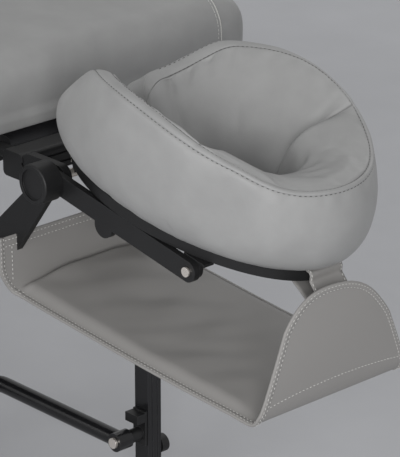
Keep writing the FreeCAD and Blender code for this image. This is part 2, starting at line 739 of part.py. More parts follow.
parts["rest_ring"] = in_ring_plane(ring)
parts["ring_lugs"] = in_ring_plane(pair(lug))
parts["ring_skirt"] = in_ring_plane(skirt)
parts["ring_rivets"] = in_ring_plane(pair(rivets))
parts["face_cushion"] = in_ring_plane(cushion)

# Arm sling: hem on the rod, back panel, tray floor and front tongue
tongue_top = V(ring_front.x + tongue_lean, 0, ring_front.z - tongue_top_drop)
hem_x = rod_at.x + tail_r + 2 * seat_gap + cloth / 2.0
floor_back = rod_at.z - tray_back_drop
floor_front = floor_back - tray_fall
belly_x = ring_front.x + tray_ahead
run = belly_x - hem_x
line = [
    (hem_x, rod_at.z + hem_rise),
    (hem_x + 0.6, rod_at.z - 0.25 * tray_back_drop),
    (hem_x + 5.0, floor_back + 0.22 * tray_back_drop),
    (hem_x + 26.0, floor_back - 4.0),
]
for share in (0.3, 0.5, 0.7, 0.88):
    dip = tray_sag * 4.0 * share * (1.0 - share)
    line.append((hem_x + share * run, floor_back - tray_fall * share - dip))
line += [
    (belly_x - 12.0, floor_front),
    (belly_x - 1.5, floor_front + 9.0),
    (belly_x + 3.0, floor_front + 26.0),
    (belly_x + 0.72 * (tongue_top.x - belly_x), floor_front + 0.62 * (tongue_top.z - floor_front)),
    (tongue_top.x, tongue_top.z),
]


def cloth_band(points, thickness, y0, y1):
    """Cloth of even thickness that follows a side-on line of X, Z points."""
    curve = Part.BSplineCurve()
    curve.interpolate([V(x, y0, z) for x, z in points])
    first, last = curve.FirstParameter, curve.LastParameter
    upper = []
    lower = []
    steps = 36
    for i in range(steps + 1):
        u = first + (last - first) * i / steps
        p = curve.value(u)
        d = curve.tangent(u)[0]
        n = V(-d.z, 0, d.x) * (thickness / 2.0)
        upper.append(p + n)
        lower.append(p - n)
    a = Part.BSplineCurve()
    a.interpolate(upper)
    b = Part.BSplineCurve()
    b.interpolate(lower)
    edges = [a.toShape(), Part.makeLine(upper[-1], lower[-1]), b.toShape(), Part.makeLine(lower[0], upper[0])]
    wire = Part.Wire(Part.__sortEdges__(edges))
    return Part.Face(wire).extrude(V(0, y1 - y0, 0))


sling = cloth_band(line, cloth, -hem_half, hem_half)
for side in (-1, 1):
    rise = tongue_top.z - floor_front
    trim = [(side * tray_half, floor_front + 12.0), (side * 0.90 * tray_half, floor_front + 0.34 * rise),
            (side * 0.70 * tray_half, floor_front + 0.68 * rise), (side * 0.52 * tray_half, floor_front + 0.86 * rise),
            (side * 0.30 * tray_half, floor_front + 0.965 * rise), (0.0, floor_front + rise),
            (0.0, tongue_top.z + 20.0),
            (side * 2 * tray_half, tongue_top.z + 20.0), (side * 2 * tray_half, floor_front + 12.0)]
    wire = Part.makePolygon([V(belly_x - 40.0, y, z) for y, z in trim + trim[:1]])
    sling = sling.cut(Part.Face(wire).extrude(V(110.0, 0, 0)))
    a, b = sorted((side * tray_half, side * 2 * tray_half))
    sling = sling.cut(block(hem_x - 20, tongue_top.x + 60, a, b, floor_front - 50, floor_back + 0.3 * tray_back_drop))
    sling = sling.cut(block(hem_x + 12, tongue_top.x + 60, a, b, floor_front - 50, tongue_top.z + 50))
hem = rod_along_y(rod_at.x, rod_at.z, hem_r, -sleeve_half, sleeve_half)
hem = hem.fuse(block(rod_at.x, hem_x, -sleeve_half, sleeve_half, rod_at.z + hem_r - cloth, rod_at.z + hem_r))
sling = sling.fuse(hem).cut(rod_along_y(rod_at.x, rod_at.z, rod_r + seat_gap, -sleeve_half - 1, sleeve_half + 1))
slit = block(hem_x - 2 * cloth, hem_x + 2 * cloth, arm_inner - slit_gap, arm_outer + slit_gap,
             rod_at.z - tail_r + cloth, rod_at.z + 2 * hem_rise)
sling = sling.cut(slit).cut(other_side(slit))
parts["arm_sling"] = sling.removeSplitter()

# Strap round the ring's front bar, sewn to the inside of the tongue
front_in = 0.4


def tongue_inside(drop):
    z = ring_front.z - drop
    share = (z - floor_front) / (tongue_top.z - floor_front)
    x = between(belly_x, tongue_top.x, min(1.0, 1.15 * share))
    return V(x - cloth / 2.0 - seat_gap - 2.0, 0, z)


over = half_t - 0.4
patch_low = tongue_inside(strap_low)
patch_high = tongue_inside(strap_high)
outer_loop = [ring_point(front_in + strap_cloth, over), ring_point(-strap_back - strap_cloth, over),
              ring_point(-strap_back - strap_cloth, -10.0), patch_low, patch_high]
inner_loop = [ring_point(front_in, over - strap_cloth), ring_point(-strap_back, over - strap_cloth),
              ring_point(-strap_back, -9.4), patch_low + V(-2.4, 0, 2.0), patch_high + V(-2.0, 0, -0.6)]
strap = prism_y([(p.x, p.z) for p in outer_loop], -strap_half, strap_half)
strap = strap.cut(prism_y([(p.x, p.z) for p in inner_loop], -strap_half - 1, strap_half + 1))
parts["sling_strap"] = strap

# Carrying handles and a draw latch on the right-hand side rails
fit_y0 = -frame_half - seat_gap - fitting_depth
fit_y1 = -frame_half - seat_gap
fit_y = (fit_y0 + fit_y1) / 2.0
handle_x = half_length / 2.0
handle_z = rail_top - 8.0
grip = block(handle_x - handle_half, handle_x + handle_half, fit_y - handle_r, fit_y + handle_r,
             handle_z - handle_drop - handle_r, handle_z - handle_drop + handle_r)
for side in (-1, 1):
    a, b = sorted((handle_x + side * handle_half, handle_x + side * (handle_half - 2 * handle_r)))
    grip = grip.fuse(block(a, b, fit_y - handle_r, fit_y + handle_r, handle_z - handle_drop, handle_z + handle_r))
    a, b = sorted((handle_x + side * (handle_half - handle_r), handle_x + side * (handle_half + bracket_length - 2)))
    grip = grip.fuse(rod_along_x(fit_y, handle_z, handle_r - 0.6, a, b))
grip = grip.removeSplitter()
bored = None
for side in (-1, 1):
    a, b = sorted((handle_x + side * (handle_half + seat_gap), handle_x + side * (handle_half + bracket_length)))
    lump = block(a, b, fit_y0, fit_y1, handle_z - 6, handle_z + 6)
    lump = lump.cut(rod_along_x(fit_y, handle_z, handle_r - 0.6 + run_gap, a - 1, b + 1))
    bored = lump if bored is None else Part.makeCompound([bored, lump])
parts["head_handle"] = grip
parts["foot_handle"] = other_half(grip)

latch_x = frame_end - latch_from_end
latch_z = rail_top - 7.0
half_w = latch_width / 2.0
latch_base = None
for side in (-1, 1):
    a, b = sorted((latch_x + side * (half_w + seat_gap), latch_x + side * (half_w + 6.0)))
    ear = block(a, b, fit_y0, fit_y1, latch_z - 5, latch_z + 5)
    ear = ear.cut(rod_along_x(fit_y, latch_z, 2.0 + run_gap, a - 1, b + 1))
    latch_base = ear if latch_base is None else Part.makeCompound([latch_base, ear])
lever = block(latch_x - half_w, latch_x + half_w, fit_y - 1.5, fit_y + 1.5, rail_bottom + 3.0, latch_z)
lever = lever.fuse(rod_along_x(fit_y, latch_z, 3.0, latch_x - half_w, latch_x + half_w))
lever = lever.fuse(rod_along_x(fit_y, latch_z, 2.0, latch_x - half_w - 5.0, latch_x + half_w + 5.0)).removeSplitter()
catch = block(-latch_x - half_w, -latch_x + half_w, fit_y1 - 3.0, fit_y1, rail_bottom + 3.0, rail_bottom + 22.0)
catch = catch.fuse(block(-latch_x - half_w, -latch_x + half_w, fit_y0, fit_y1 - 2.0,
                         rail_bottom + 10.0, rail_bottom + 14.0)).removeSplitter()
parts["latch_lever"] = lever
parts["head_side_fittings"] = Part.makeCompound([bored, latch_base])
parts["foot_side_fittings"] = Part.makeCompound([other_half(bored), catch])

# Stand the middle of the whole box over the origin
whole = Part.makeCompound(list(parts.values())).optimalBoundingBox(False, False)
shift = V(-(whole.XMin + whole.XMax) / 2.0, -(whole.YMin + whole.YMax) / 2.0, -whole.ZMin)
os.makedirs("parts", exist_ok=True)
for name, shape in parts.items():
    moved = shape.copy()
    moved.translate(shift)
    moved.exportStep("parts/" + name + ".step")
print("nodes", len(parts), "shift", shift, "box", whole.XLength, whole.YLength, whole.ZLength)
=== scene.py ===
"""Looks of the folding treatment table: upholstered pads, horseshoe face cushion,
hanging arm sling and the finishes of its black frame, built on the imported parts."""
import json
import math
from math import cos, pi, radians, sin

import bmesh
import bpy
from bpy.props import FloatProperty, FloatVectorProperty, IntProperty, PointerProperty
from mathutils import Matrix, Vector, noise
from mathutils.bvhtree import BVHTree
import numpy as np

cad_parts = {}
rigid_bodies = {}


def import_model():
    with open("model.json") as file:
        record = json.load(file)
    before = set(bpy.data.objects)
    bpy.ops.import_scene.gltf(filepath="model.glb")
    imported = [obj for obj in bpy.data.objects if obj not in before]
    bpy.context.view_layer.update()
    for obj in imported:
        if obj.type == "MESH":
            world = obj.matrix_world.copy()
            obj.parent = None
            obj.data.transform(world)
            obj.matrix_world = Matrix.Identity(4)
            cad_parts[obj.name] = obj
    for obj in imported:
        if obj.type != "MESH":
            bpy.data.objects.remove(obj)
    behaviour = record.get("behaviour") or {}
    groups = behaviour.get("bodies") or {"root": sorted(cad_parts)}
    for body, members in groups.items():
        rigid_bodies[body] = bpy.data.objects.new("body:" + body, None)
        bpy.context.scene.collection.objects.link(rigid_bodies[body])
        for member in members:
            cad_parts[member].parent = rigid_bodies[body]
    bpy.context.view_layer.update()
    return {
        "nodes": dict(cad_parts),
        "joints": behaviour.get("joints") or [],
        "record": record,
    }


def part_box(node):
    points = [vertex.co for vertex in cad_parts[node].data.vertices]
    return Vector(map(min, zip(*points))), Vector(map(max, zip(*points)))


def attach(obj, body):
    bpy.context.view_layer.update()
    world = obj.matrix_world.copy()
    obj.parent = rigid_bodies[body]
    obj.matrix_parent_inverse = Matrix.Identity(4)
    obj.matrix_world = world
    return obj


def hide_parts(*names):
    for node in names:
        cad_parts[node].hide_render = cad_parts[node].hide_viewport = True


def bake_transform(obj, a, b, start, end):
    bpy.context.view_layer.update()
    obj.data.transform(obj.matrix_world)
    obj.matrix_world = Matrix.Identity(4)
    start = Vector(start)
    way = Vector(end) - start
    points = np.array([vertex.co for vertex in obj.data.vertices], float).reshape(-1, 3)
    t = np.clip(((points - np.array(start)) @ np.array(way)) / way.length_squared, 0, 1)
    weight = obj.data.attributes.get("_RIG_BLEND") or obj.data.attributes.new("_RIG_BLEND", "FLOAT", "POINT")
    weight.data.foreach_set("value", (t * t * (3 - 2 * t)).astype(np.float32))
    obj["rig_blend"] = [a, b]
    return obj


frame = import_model()

bl_info = {
    "name": "Folding treatment table",
    "version": (1, 0, 0),
    "blender": (4, 5, 0),
    "location": "View3D > Sidebar > Table",
    "description": "Upholstery, sling and finishes for a folding treatment table",
    "category": "Add Mesh",
}

MM = 0.001
JOINT_AT = {joint["name"]: Vector(joint["pos_m"]) for joint in frame["joints"] if "pos_m" in joint}
FOLD = JOINT_AT["table_fold"]
ARM_PIVOT = JOINT_AT["rest_arm_tilt"]
RING_PIN = JOINT_AT["ring_tilt"]
# The ring slopes down to its front edge, which lies this far along the slope and square to it from the pin
RING_SLOPE = radians(11.0)
RING_REACH = 0.099
RING_LIFT = 0.020
ALONG = Vector((cos(RING_SLOPE), 0.0, -sin(RING_SLOPE)))
NORMAL = Vector((sin(RING_SLOPE), 0.0, cos(RING_SLOPE)))
RING_FRONT = Vector((RING_PIN.x, 0.0, RING_PIN.z)) + ALONG * RING_REACH + NORMAL * RING_LIFT
# Filling: its pressure on the cover and the frames it is given to push
FILL_PRESSURE = 3.0
FILL_FRAMES = 20
# Stitches: width against half the height, and the share of the width that each is lifted off the cover
STITCH_FLATNESS = 2.2
STITCH_LIFT = 0.12


def length_value(name, description, default):
    return FloatProperty(name=name, description=description, default=default, unit="LENGTH")


def angle_value(name, description, default):
    return FloatProperty(name=name, description=description, default=default, subtype="ANGLE")


def pixel_value(name, description, default):
    return IntProperty(name=name, description=description, default=default, subtype="PIXEL")


def colour_value(name, description, default):
    return FloatVectorProperty(name=name, description=description, subtype="COLOR", size=3, min=0.0, max=1.0,
                               default=default)


class PadSizes(bpy.types.PropertyGroup):
    """Sizes of the two table pads."""

    edge_round: length_value("Edge round", "How far the rolled edge reaches in from the side", 0.048)
    crown: length_value("Crown", "Rise of the pad's middle over its edge", 0.0035)
    cell: length_value("Cell", "Size of the cover's mesh cells", 0.014)
    corner_seam: length_value("Corner seam", "Distance of the upright seam from the pad's corner", 0.052)
    swell: length_value("Swell", "Furthest that the foam pushes the cover out", 0.003)


class CushionSizes(bpy.types.PropertyGroup):
    """Sizes of the face cushion, measured in the ring's plane."""

    rim_height: length_value("Rim height", "Rim above the ring at the forehead", 0.107)
    rim_rise: length_value("Cheek rise", "How much higher the rim is at the cheeks", 0.032)
    base: length_value("Base", "Underside above the ring's middle", 0.0071)
    near_rise: length_value("Near rise", "How much fuller the cheek on the knob's side is", 0.011)
    lobe_fall: length_value("Lobe fall", "How much lower the rim is where the lobes end", 0.046)
    lobe_slope: length_value("Lobe slope", "How far the lobes' back is drawn in below the rim", 0.022)
    lobe_angle: angle_value("Lobe angle", "Where each lobe starts to round off, from the back", 0.29)
    lobe_round: length_value("Lobe round", "Depth of each lobe's rounded end", 0.022)
    seam_depth: length_value("Seam depth", "Pinch of the cover at the rim seam", 0.0022)
    side_seam: angle_value("Side seam", "Place of the two funnel seams, round from the front", radians(69.0))
    swell: length_value("Swell", "Furthest that the filling pushes the cover out", 0.0026)
    stitch_pitch: length_value("Stitch pitch", "Spacing of the stitches", 0.0058)


class SlingSizes(bpy.types.PropertyGroup):
    """Sizes of the arm sling and its strap."""

    cloth: length_value("Cloth", "Thickness of the padded cloth", 0.0026)
    hem_half: length_value("Hem half width", "Half the width of the back panel", 0.130)
    tray_half: length_value("Tray half width", "Half the width of the floor", 0.110)
    pillow: length_value("Pillow", "Rise of the padded floor inside its binding", 0.009)
    binding: length_value("Binding", "Width of the edge binding", 0.0070)
    stitch_pitch: length_value("Stitch pitch", "Spacing of the stitches", 0.0052)
    strap_half: length_value("Strap half width", "Half the width of the strap round the ring", 0.0238)


class TableFinishes(bpy.types.PropertyGroup):
    """Colours of the table."""

    vinyl: colour_value("Vinyl", "Upholstery cover", (0.285, 0.285, 0.283))
    thread: colour_value("Cushion thread", "Thread on the face cushion", (0.075, 0.074, 0.072))
    pale_thread: colour_value("Sling thread", "Thread on the sling and the pads", (0.60, 0.595, 0.57))
    black: colour_value("Black frame", "Anodised rails and legs", (0.008, 0.008, 0.009))
    plastic: colour_value("Black plastic", "Moulded fittings", (0.009, 0.009, 0.0095))
    floor: colour_value("Floor", "Studio floor", (0.497, 0.502, 0.522))


class StageSizes(bpy.types.PropertyGroup):
    """Camera and floor of the studio."""

    azimuth: angle_value("Azimuth", "Camera direction round the table", radians(47.0))
    elevation: angle_value("Elevation", "Camera above the horizon", radians(21.5))
    distance: length_value("Distance", "Camera to the front of the ring", 3.15)
    lens: FloatProperty(name="Lens", description="Focal length on the image's long side", default=236.3,
                        unit="CAMERA")
    floor_radius: length_value("Floor radius", "Radius of the studio floor", 70.0)
    wide: pixel_value("Image width", "Photograph's width in pixels", 400)
    high: pixel_value("Image height", "Photograph's height in pixels", 457)


def on_ring(back, side, rise):
    """Point in the ring's tilted plane: back from its front edge, to the side, and above its middle."""
    return RING_FRONT - ALONG * back + NORMAL * rise + Vector((0.0, side, 0.0))


def on_table(x, y, z):
    """Point from the fold line, the centre line and the floor."""
    return Vector((FOLD.x + x, y, z))


def clamp(value, low=0.0, high=1.0):
    return min(high, max(low, value))


def between(low, high, share):
    return low + (high - low) * share


def ease(low, high, value):
    """Nothing up to low, one from high on, and a smooth change between; low may be the larger."""
    share = clamp((value - low) / (high - low))
    return share * share * (3.0 - 2.0 * share)


def hump(value, centre, reach):
    """One at the centre, falling smoothly to nothing at the reach."""
    share = abs(value - centre) / reach
    return 0.0 if share >= 1.0 else (1.0 - share * share) ** 2


def table_value(pairs, at):
    """Straight interpolation in a list of (place, value)."""
    if at <= pairs[0][0]:
        return pairs[0][1]
    for (a, low), (b, high) in zip(pairs, pairs[1:]):
        if at <= b:
            return between(low, high, (at - a) / (b - a))
    return pairs[-1][1]


def curve_at(keys, at, closed=False):
    """Smooth curve through keys, each a tuple of numbers; at counts keys."""
    count = len(keys)
    cell = math.floor(at)
    if not closed:
        cell = clamp(cell, 0, count - 2)
    t = at - cell
    picked = []
    for step in (-1, 0, 1, 2):
        k = cell + step
        picked.append(keys[k % count] if closed else keys[clamp(k, 0, count - 1)])
    p0, p1, p2, p3 = picked
    return tuple(0.5 * (2 * b + (c - a) * t + (2 * a - 5 * b + 4 * c - d) * t * t
                        + (3 * b - a - 3 * c + d) * t * t * t) for a, b, c, d in zip(p0, p1, p2, p3))


def smooth_line(keys, parts):
    """Places on the smooth curve through keys, so many parts from each key to the next."""
    return [curve_at(keys, i / parts) for i in range(parts * (len(keys) - 1) + 1)]


def walked_lengths(points):
    """How far along the line each of its points lies."""
    lengths = [0.0]
    for a, b in zip(points, points[1:]):
        lengths.append(lengths[-1] + (b - a).length)
    return lengths


def even_points(points, step):
    """Points at an even step along a line of points."""
    lengths = walked_lengths(points)
    count = max(2, round(lengths[-1] / step))
    found = []
    k = 0
    for i in range(count + 1):
        want = lengths[-1] * i / count
        while k < len(points) - 2 and lengths[k + 1] < want:
            k += 1
        span = max(1e-9, lengths[k + 1] - lengths[k])
        found.append(points[k].lerp(points[k + 1], (want - lengths[k]) / span))
    return found


def grid_cells(bm, across, along):
    """Lay a flat grid and give each vertex with its column and row."""
    bmesh.ops.create_grid(bm, x_segments=across, y_segments=along, size=1.0)
    for vertex in bm.verts:
        column = round((vertex.co.x + 1.0) / 2.0 * across)
        row = round((vertex.co.y + 1.0) / 2.0 * along)
        yield vertex, column, row


def face_out(bm):
    bmesh.ops.recalc_face_normals(bm, faces=bm.faces)


def band(bm, line, start, width):
    """Strip of faces: a side-on line of (x, z) drawn across the table from start."""
    verts = [bm.verts.new((x, start, z)) for x, z in line]
    edges = [bm.edges.new(pair) for pair in zip(verts, verts[1:])]
    made = bmesh.ops.extrude_edge_only(bm, edges=edges)
    moved = [v for v in made["geom"] if isinstance(v, bmesh.types.BMVert)]
    bmesh.ops.translate(bm, vec=(0.0, width, 0.0), verts=moved)


def new_object(name, data):
    thing = bpy.data.objects.new(name, data)
    bpy.context.scene.collection.objects.link(thing)
    return thing


def place_facing(thing, place, way):
    """Put a camera or a lamp at a place, facing a way."""
    thing.location = place
    thing.rotation_mode = "QUATERNION"
    thing.rotation_quaternion = way.to_track_quat("-Z", "Y")


def new_piece(name, bm, material, smooth=True):
    """Object at the origin from a finished bmesh and the name of its material."""
    for face in bm.faces:
        face.smooth = smooth
    mesh = bpy.data.meshes.new(name)
    bm.to_mesh(mesh)
    bm.free()
    mesh.materials.append(bpy.data.materials[material])
    return new_object(name, mesh)


def thicken(piece, thickness):
    """Give a sheet its thickness, half to each side."""
    cloth = piece.modifiers.new("cloth", "SOLIDIFY")
    cloth.thickness = thickness
    cloth.offset = 0.0
    return piece


def soften(piece):
    surface = piece.modifiers.new("soft", "SUBSURF")
    surface.levels = 1
    surface.render_levels = 1
    return piece


def final_tree(piece):
    """Search tree of the piece as its modifiers leave it."""
    return BVHTree.FromObject(piece, bpy.context.evaluated_depsgraph_get())


def swell(piece, sewn, reach, slack=0.0):
    """Let the filling push the cover out between its sewn points, none further than the reach."""
    scene = bpy.context.scene
    start = [v.co.copy() for v in piece.data.vertices]
    group = piece.vertex_groups.new(name="sewn")
    group.add(sewn, 1.0, "REPLACE")
    cloth = piece.modifiers.new("swell", "CLOTH")
    cloth.settings.quality = 5
    cloth.settings.use_pressure = True
    cloth.settings.uniform_pressure_force = FILL_PRESSURE
    cloth.settings.vertex_group_mass = "sewn"
    cloth.settings.shrink_min = -slack
    cloth.settings.effector_weights.gravity = 0.0
    cloth.collision_settings.use_collision = False
    cloth.collision_settings.use_self_collision = False
    cloth.point_cache.frame_start = 1
    cloth.point_cache.frame_end = FILL_FRAMES
    for number in range(1, FILL_FRAMES + 1):
        scene.frame_set(number)
    seen = piece.evaluated_get(bpy.context.evaluated_depsgraph_get())
    mesh = seen.to_mesh()
    moved = [v.co.copy() for v in mesh.vertices]
    seen.to_mesh_clear()
    piece.modifiers.remove(cloth)
    piece.vertex_groups.remove(group)
    scene.frame_set(1)
    for vertex, old, new in zip(piece.data.vertices, start, moved):
        step = new - old
        if step.length > reach:
            step *= reach / step.length
        vertex.co = old + step
    piece.data.update()


def stitch_row(bm, tree, points, pitch, length, width, lean=0.0):
    """Stitches along a line of points, each laid on the nearest cover."""
    spots = even_points(points, pitch)
    for first, second in zip(spots, spots[1:]):
        place, normal, _, _ = tree.find_nearest((first + second) / 2.0)
        if place is None:
            continue
        run = second - first
        run -= normal * run.dot(normal)
        if run.length < 1e-7:
            continue
        run.normalize()
        across = normal.cross(run)
        if lean:
            run = (run * cos(lean) + across * sin(lean)).normalized()
            across = normal.cross(run)
        turn = Matrix((run, across, normal)).transposed().to_4x4()
        size = Matrix.Diagonal((length / 2.0, width / 2.0, width / STITCH_FLATNESS, 1.0))
        where = Matrix.Translation(place + normal * width * STITCH_LIFT)
        bmesh.ops.create_icosphere(bm, subdivisions=1, radius=1.0, matrix=where @ turn @ size)


def edge_sweep(bm, line, inward, normals, section):
    """Closed section swept along a line; the section is given inward and along the normal."""
    rings = []
    for place, across, normal in zip(line, inward, normals):
        rings.append([bm.verts.new(place + across * a + normal * n) for a, n in section])
    edges = []
    for ring in rings:
        edges.append([bm.edges.new((ring[k], ring[(k + 1) % len(ring)])) for k in range(len(ring))])
    for first, second in zip(edges, edges[1:]):
        bmesh.ops.bridge_loops(bm, edges=first + second)
    for ring in (rings[0], rings[-1]):
        bm.faces.new(ring)
    face_out(bm)


def node_tree(name):
    """Fresh material: its object coordinates, a helper that adds a node and one that fills the shader."""
    material = bpy.data.materials.new(name)
    material.use_nodes = True
    nodes = material.node_tree.nodes
    links = material.node_tree.links

    def fill(node, inputs):
        for key, value in inputs.items():
            if isinstance(value, bpy.types.NodeSocket):
                links.new(value, node.inputs[key])
            else:
                node.inputs[key].default_value = value

    def add(kind, inputs=None, **settings):
        node = nodes.new(kind)
        for key, value in settings.items():
            setattr(node, key, value)
        fill(node, inputs or {})
        return node

    def finish(inputs):
        fill(nodes["Principled BSDF"], inputs)
        return material

    return add("ShaderNodeTexCoord").outputs["Object"], add, finish


def grain(add, coords, scale, detail=3.0, stretch=(1.0, 1.0, 1.0)):
    spread = add("ShaderNodeMapping", {"Vector": coords, "Scale": tuple(scale * s for s in stretch)})
    return add("ShaderNodeTexNoise", {"Vector": spread.outputs["Vector"], "Scale": 1.0, "Detail": detail,
                                      "Roughness": 0.55}).outputs["Fac"]


def tone(add, factor, places, colour, shares):
    """Colour that runs from a darker to a paler share of itself between two places of the factor."""
    ramp = add("ShaderNodeValToRGB", {"Fac": factor})
    for stop, place, share in zip(ramp.color_ramp.elements, places, shares):
        stop.position = place
        stop.color = (*shaded(colour, share), 1.0)
    return ramp.outputs["Color"]


def shaded(colour, share):
    return tuple(min(1.0, c * share) for c in colour)


def blended(add, factor, first, second):
    """First colour turning into the second with the factor."""
    mix = add("ShaderNodeMix", {"Factor": factor, "A": first, "B": (*second, 1.0)}, data_type="RGBA")
    return mix.outputs["Result"]


def vinyl_cover(name, colour, with_seam_shade=False):
    """Upholstery vinyl: fine leather grain, soft mottling and, when asked, painted shade in the sewn creases.
    """
    coords, add, finish = node_tree(name)
    mottle = grain(add, coords, 22.0, 4.0)
    base = tone(add, mottle, (0.32, 0.70), colour, (0.93, 1.05))
    if with_seam_shade:
        # painted shade: the cover darkens towards a sixth of its colour where the seam mask marks a sewn
        # crease
        painted_seam_shade = add("ShaderNodeAttribute", attribute_name="painted_seam_shade").outputs["Fac"]
        base = blended(add, painted_seam_shade, base, shaded(colour, 0.16))
    pebble = add("ShaderNodeTexVoronoi", {"Vector": coords, "Scale": 620.0, "Smoothness": 0.6,
                                          "Randomness": 0.9}, feature="SMOOTH_F1").outputs["Distance"]
    pores = grain(add, coords, 1500.0, 2.0)
    heights = add("ShaderNodeMath", {0: pebble, 1: pores}, operation="ADD").outputs["Value"]
    bump = add("ShaderNodeBump", {"Height": heights, "Strength": 0.14, "Distance": 0.0005}).outputs["Normal"]
    waves = grain(add, coords, 34.0, 2.0)
    broad = add("ShaderNodeBump", {"Height": waves, "Strength": 0.10, "Distance": 0.004, "Normal": bump})
    rough = add("ShaderNodeMapRange", {"Value": mottle, "To Min": 0.40, "To Max": 0.54})
    return finish({"Base Color": base, "Normal": broad.outputs["Normal"],
                   "Roughness": rough.outputs["Result"], "Specular IOR Level": 0.42, "Sheen Weight": 0.06,
                   "Sheen Roughness": 0.5})


def thread_finish(name, colour):
    """Twisted sewing thread."""
    coords, add, finish = node_tree(name)
    ply = grain(add, coords, 1900.0, 1.0)
    base = tone(add, ply, (0.35, 0.65), colour, (0.72, 1.15))
    bump = add("ShaderNodeBump", {"Height": ply, "Strength": 0.4, "Distance": 0.0003})
    return finish({"Base Color": base, "Normal": bump.outputs["Normal"], "Roughness": 0.62})


def hard_finish(name, colour, rough, texture, strength, wear, metallic=0.0, stretch=(1.0, 1.0, 1.0),
                round_edge=0.0008, specular=0.5):
    """Coated, moulded or bare hard surface with softened edges that are rubbed paler."""
    coords, add, finish = node_tree(name)
    fine = grain(add, coords, texture, 3.0, stretch)
    smudge = grain(add, coords, 16.0, 3.0)
    body = tone(add, smudge, (0.3, 0.75), colour, (0.85, 1.18))
    edge = add("ShaderNodeBevel", {"Radius": round_edge}, samples=4).outputs["Normal"]
    flat = add("ShaderNodeNewGeometry").outputs["Normal"]
    turned = add("ShaderNodeVectorMath", {0: edge, 1: flat}, operation="DOT_PRODUCT").outputs["Value"]
    rubbed = add("ShaderNodeMapRange", {"Value": turned, "From Min": 0.97, "From Max": 0.80,
                                        "To Min": 0.0, "To Max": 1.0}).outputs["Result"]
    patch = add("ShaderNodeMath", {0: rubbed, 1: smudge}, operation="MULTIPLY").outputs["Value"]
    bump = add("ShaderNodeBump", {"Height": fine, "Strength": strength, "Distance": 0.0003, "Normal": edge})
    spread = add("ShaderNodeMapRange", {"Value": smudge, "From Min": 0.3, "From Max": 0.7,
                                        "To Min": rough * 0.86, "To Max": rough * 1.16})
    return finish({"Base Color": blended(add, patch, body, wear), "Normal": bump.outputs["Normal"],
                   "Roughness": spread.outputs["Result"], "Metallic": metallic,
                   "Specular IOR Level": specular})


def studio_floor(name, colour):
    """Matt painted studio floor with faint scuffs."""
    coords, add, finish = node_tree(name)
    cloud = grain(add, coords, 1.3, 5.0)
    scuff = grain(add, coords, 9.0, 4.0)
    both = add("ShaderNodeMix", {"Factor": 0.35, "A": cloud, "B": scuff}, data_type="FLOAT").outputs["Result"]
    base = tone(add, both, (0.30, 0.72), colour, (0.94, 1.05))
    return finish({"Base Color": base, "Roughness": 0.75, "Specular IOR Level": 0.25})


class TABLE_OT_stage(bpy.types.Operator):
    """Studio floor, soft light and the camera"""

    bl_idname = "treatment_table.stage"
    bl_label = "Stage"

    # Where the middle of the ring's front edge lies in the photograph, in pixels
    ring_pixel = (325.0, 272.0)
    sensor = 36.0
    sight = 300.0
    air_colour = (0.99, 0.995, 1.0, 1.0)
    air_strength = 0.50
    # Lamps: name, place from the fold line and the floor, side of the square and power; all face the aim
    aim = (1.15, 0.0, 0.6)
    lamps = [
        ("softbox_left", (1.9, -3.8, 1.9), 2.0, 48.0),
        ("softbox_front", (4.6, -2.9, 1.6), 1.6, 96.0),
        ("softbox_right", (4.4, -0.2, 2.2), 2.0, 8.0),
        ("strip_behind", (-1.4, -2.8, 1.9), 0.5, 8.0),
        ("softbox_back", (-0.6, 4.4, 3.0), 2.2, 26.0),
    ]

    def execute(self, context):
        sizes = context.scene.table_stage
        colours = context.scene.table_finishes
        bm = bmesh.new()
        bmesh.ops.create_circle(bm, cap_ends=True, segments=96, radius=sizes.floor_radius)
        studio_floor("studio_floor", colours.floor)
        floor = new_piece("studio_floor", bm, "studio_floor", smooth=False)
        self.place_camera(context, sizes)
        self.hang_lights(context)
        context.scene.view_settings.view_transform = "Standard"
        return {"FINISHED"}

    def place_camera(self, context, sizes):
        data = bpy.data.cameras.new("photo_camera")
        data.lens = sizes.lens
        data.sensor_width = self.sensor
        data.clip_end = self.sight
        camera = new_object("photo_camera", data)
        turn, flat = sizes.azimuth, cos(sizes.elevation)
        back = Vector((sin(turn) * flat, -cos(turn) * flat, sin(sizes.elevation)))
        right = Vector((cos(turn), sin(turn), 0.0))
        up = back.cross(right)
        focal = sizes.lens / self.sensor * max(sizes.wide, sizes.high)
        across = (self.ring_pixel[0] - sizes.wide / 2.0) / focal * sizes.distance
        down = (self.ring_pixel[1] - sizes.high / 2.0) / focal * sizes.distance
        place_facing(camera, RING_FRONT + back * sizes.distance - right * across + up * down, -back)
        context.scene.camera = camera

    def hang_lights(self, context):
        world = bpy.data.worlds.new("studio_air")
        context.scene.world = world
        world.use_nodes = True
        air = world.node_tree.nodes["Background"]
        air.inputs["Color"].default_value = self.air_colour
        air.inputs["Strength"].default_value = self.air_strength
        for name, place, size, power in self.lamps:
            data = bpy.data.lights.new(name, "AREA")
            data.shape = "SQUARE"
            data.size = size
            data.energy = power
            place_facing(new_object(name, data), on_table(*place), on_table(*self.aim) - on_table(*place))


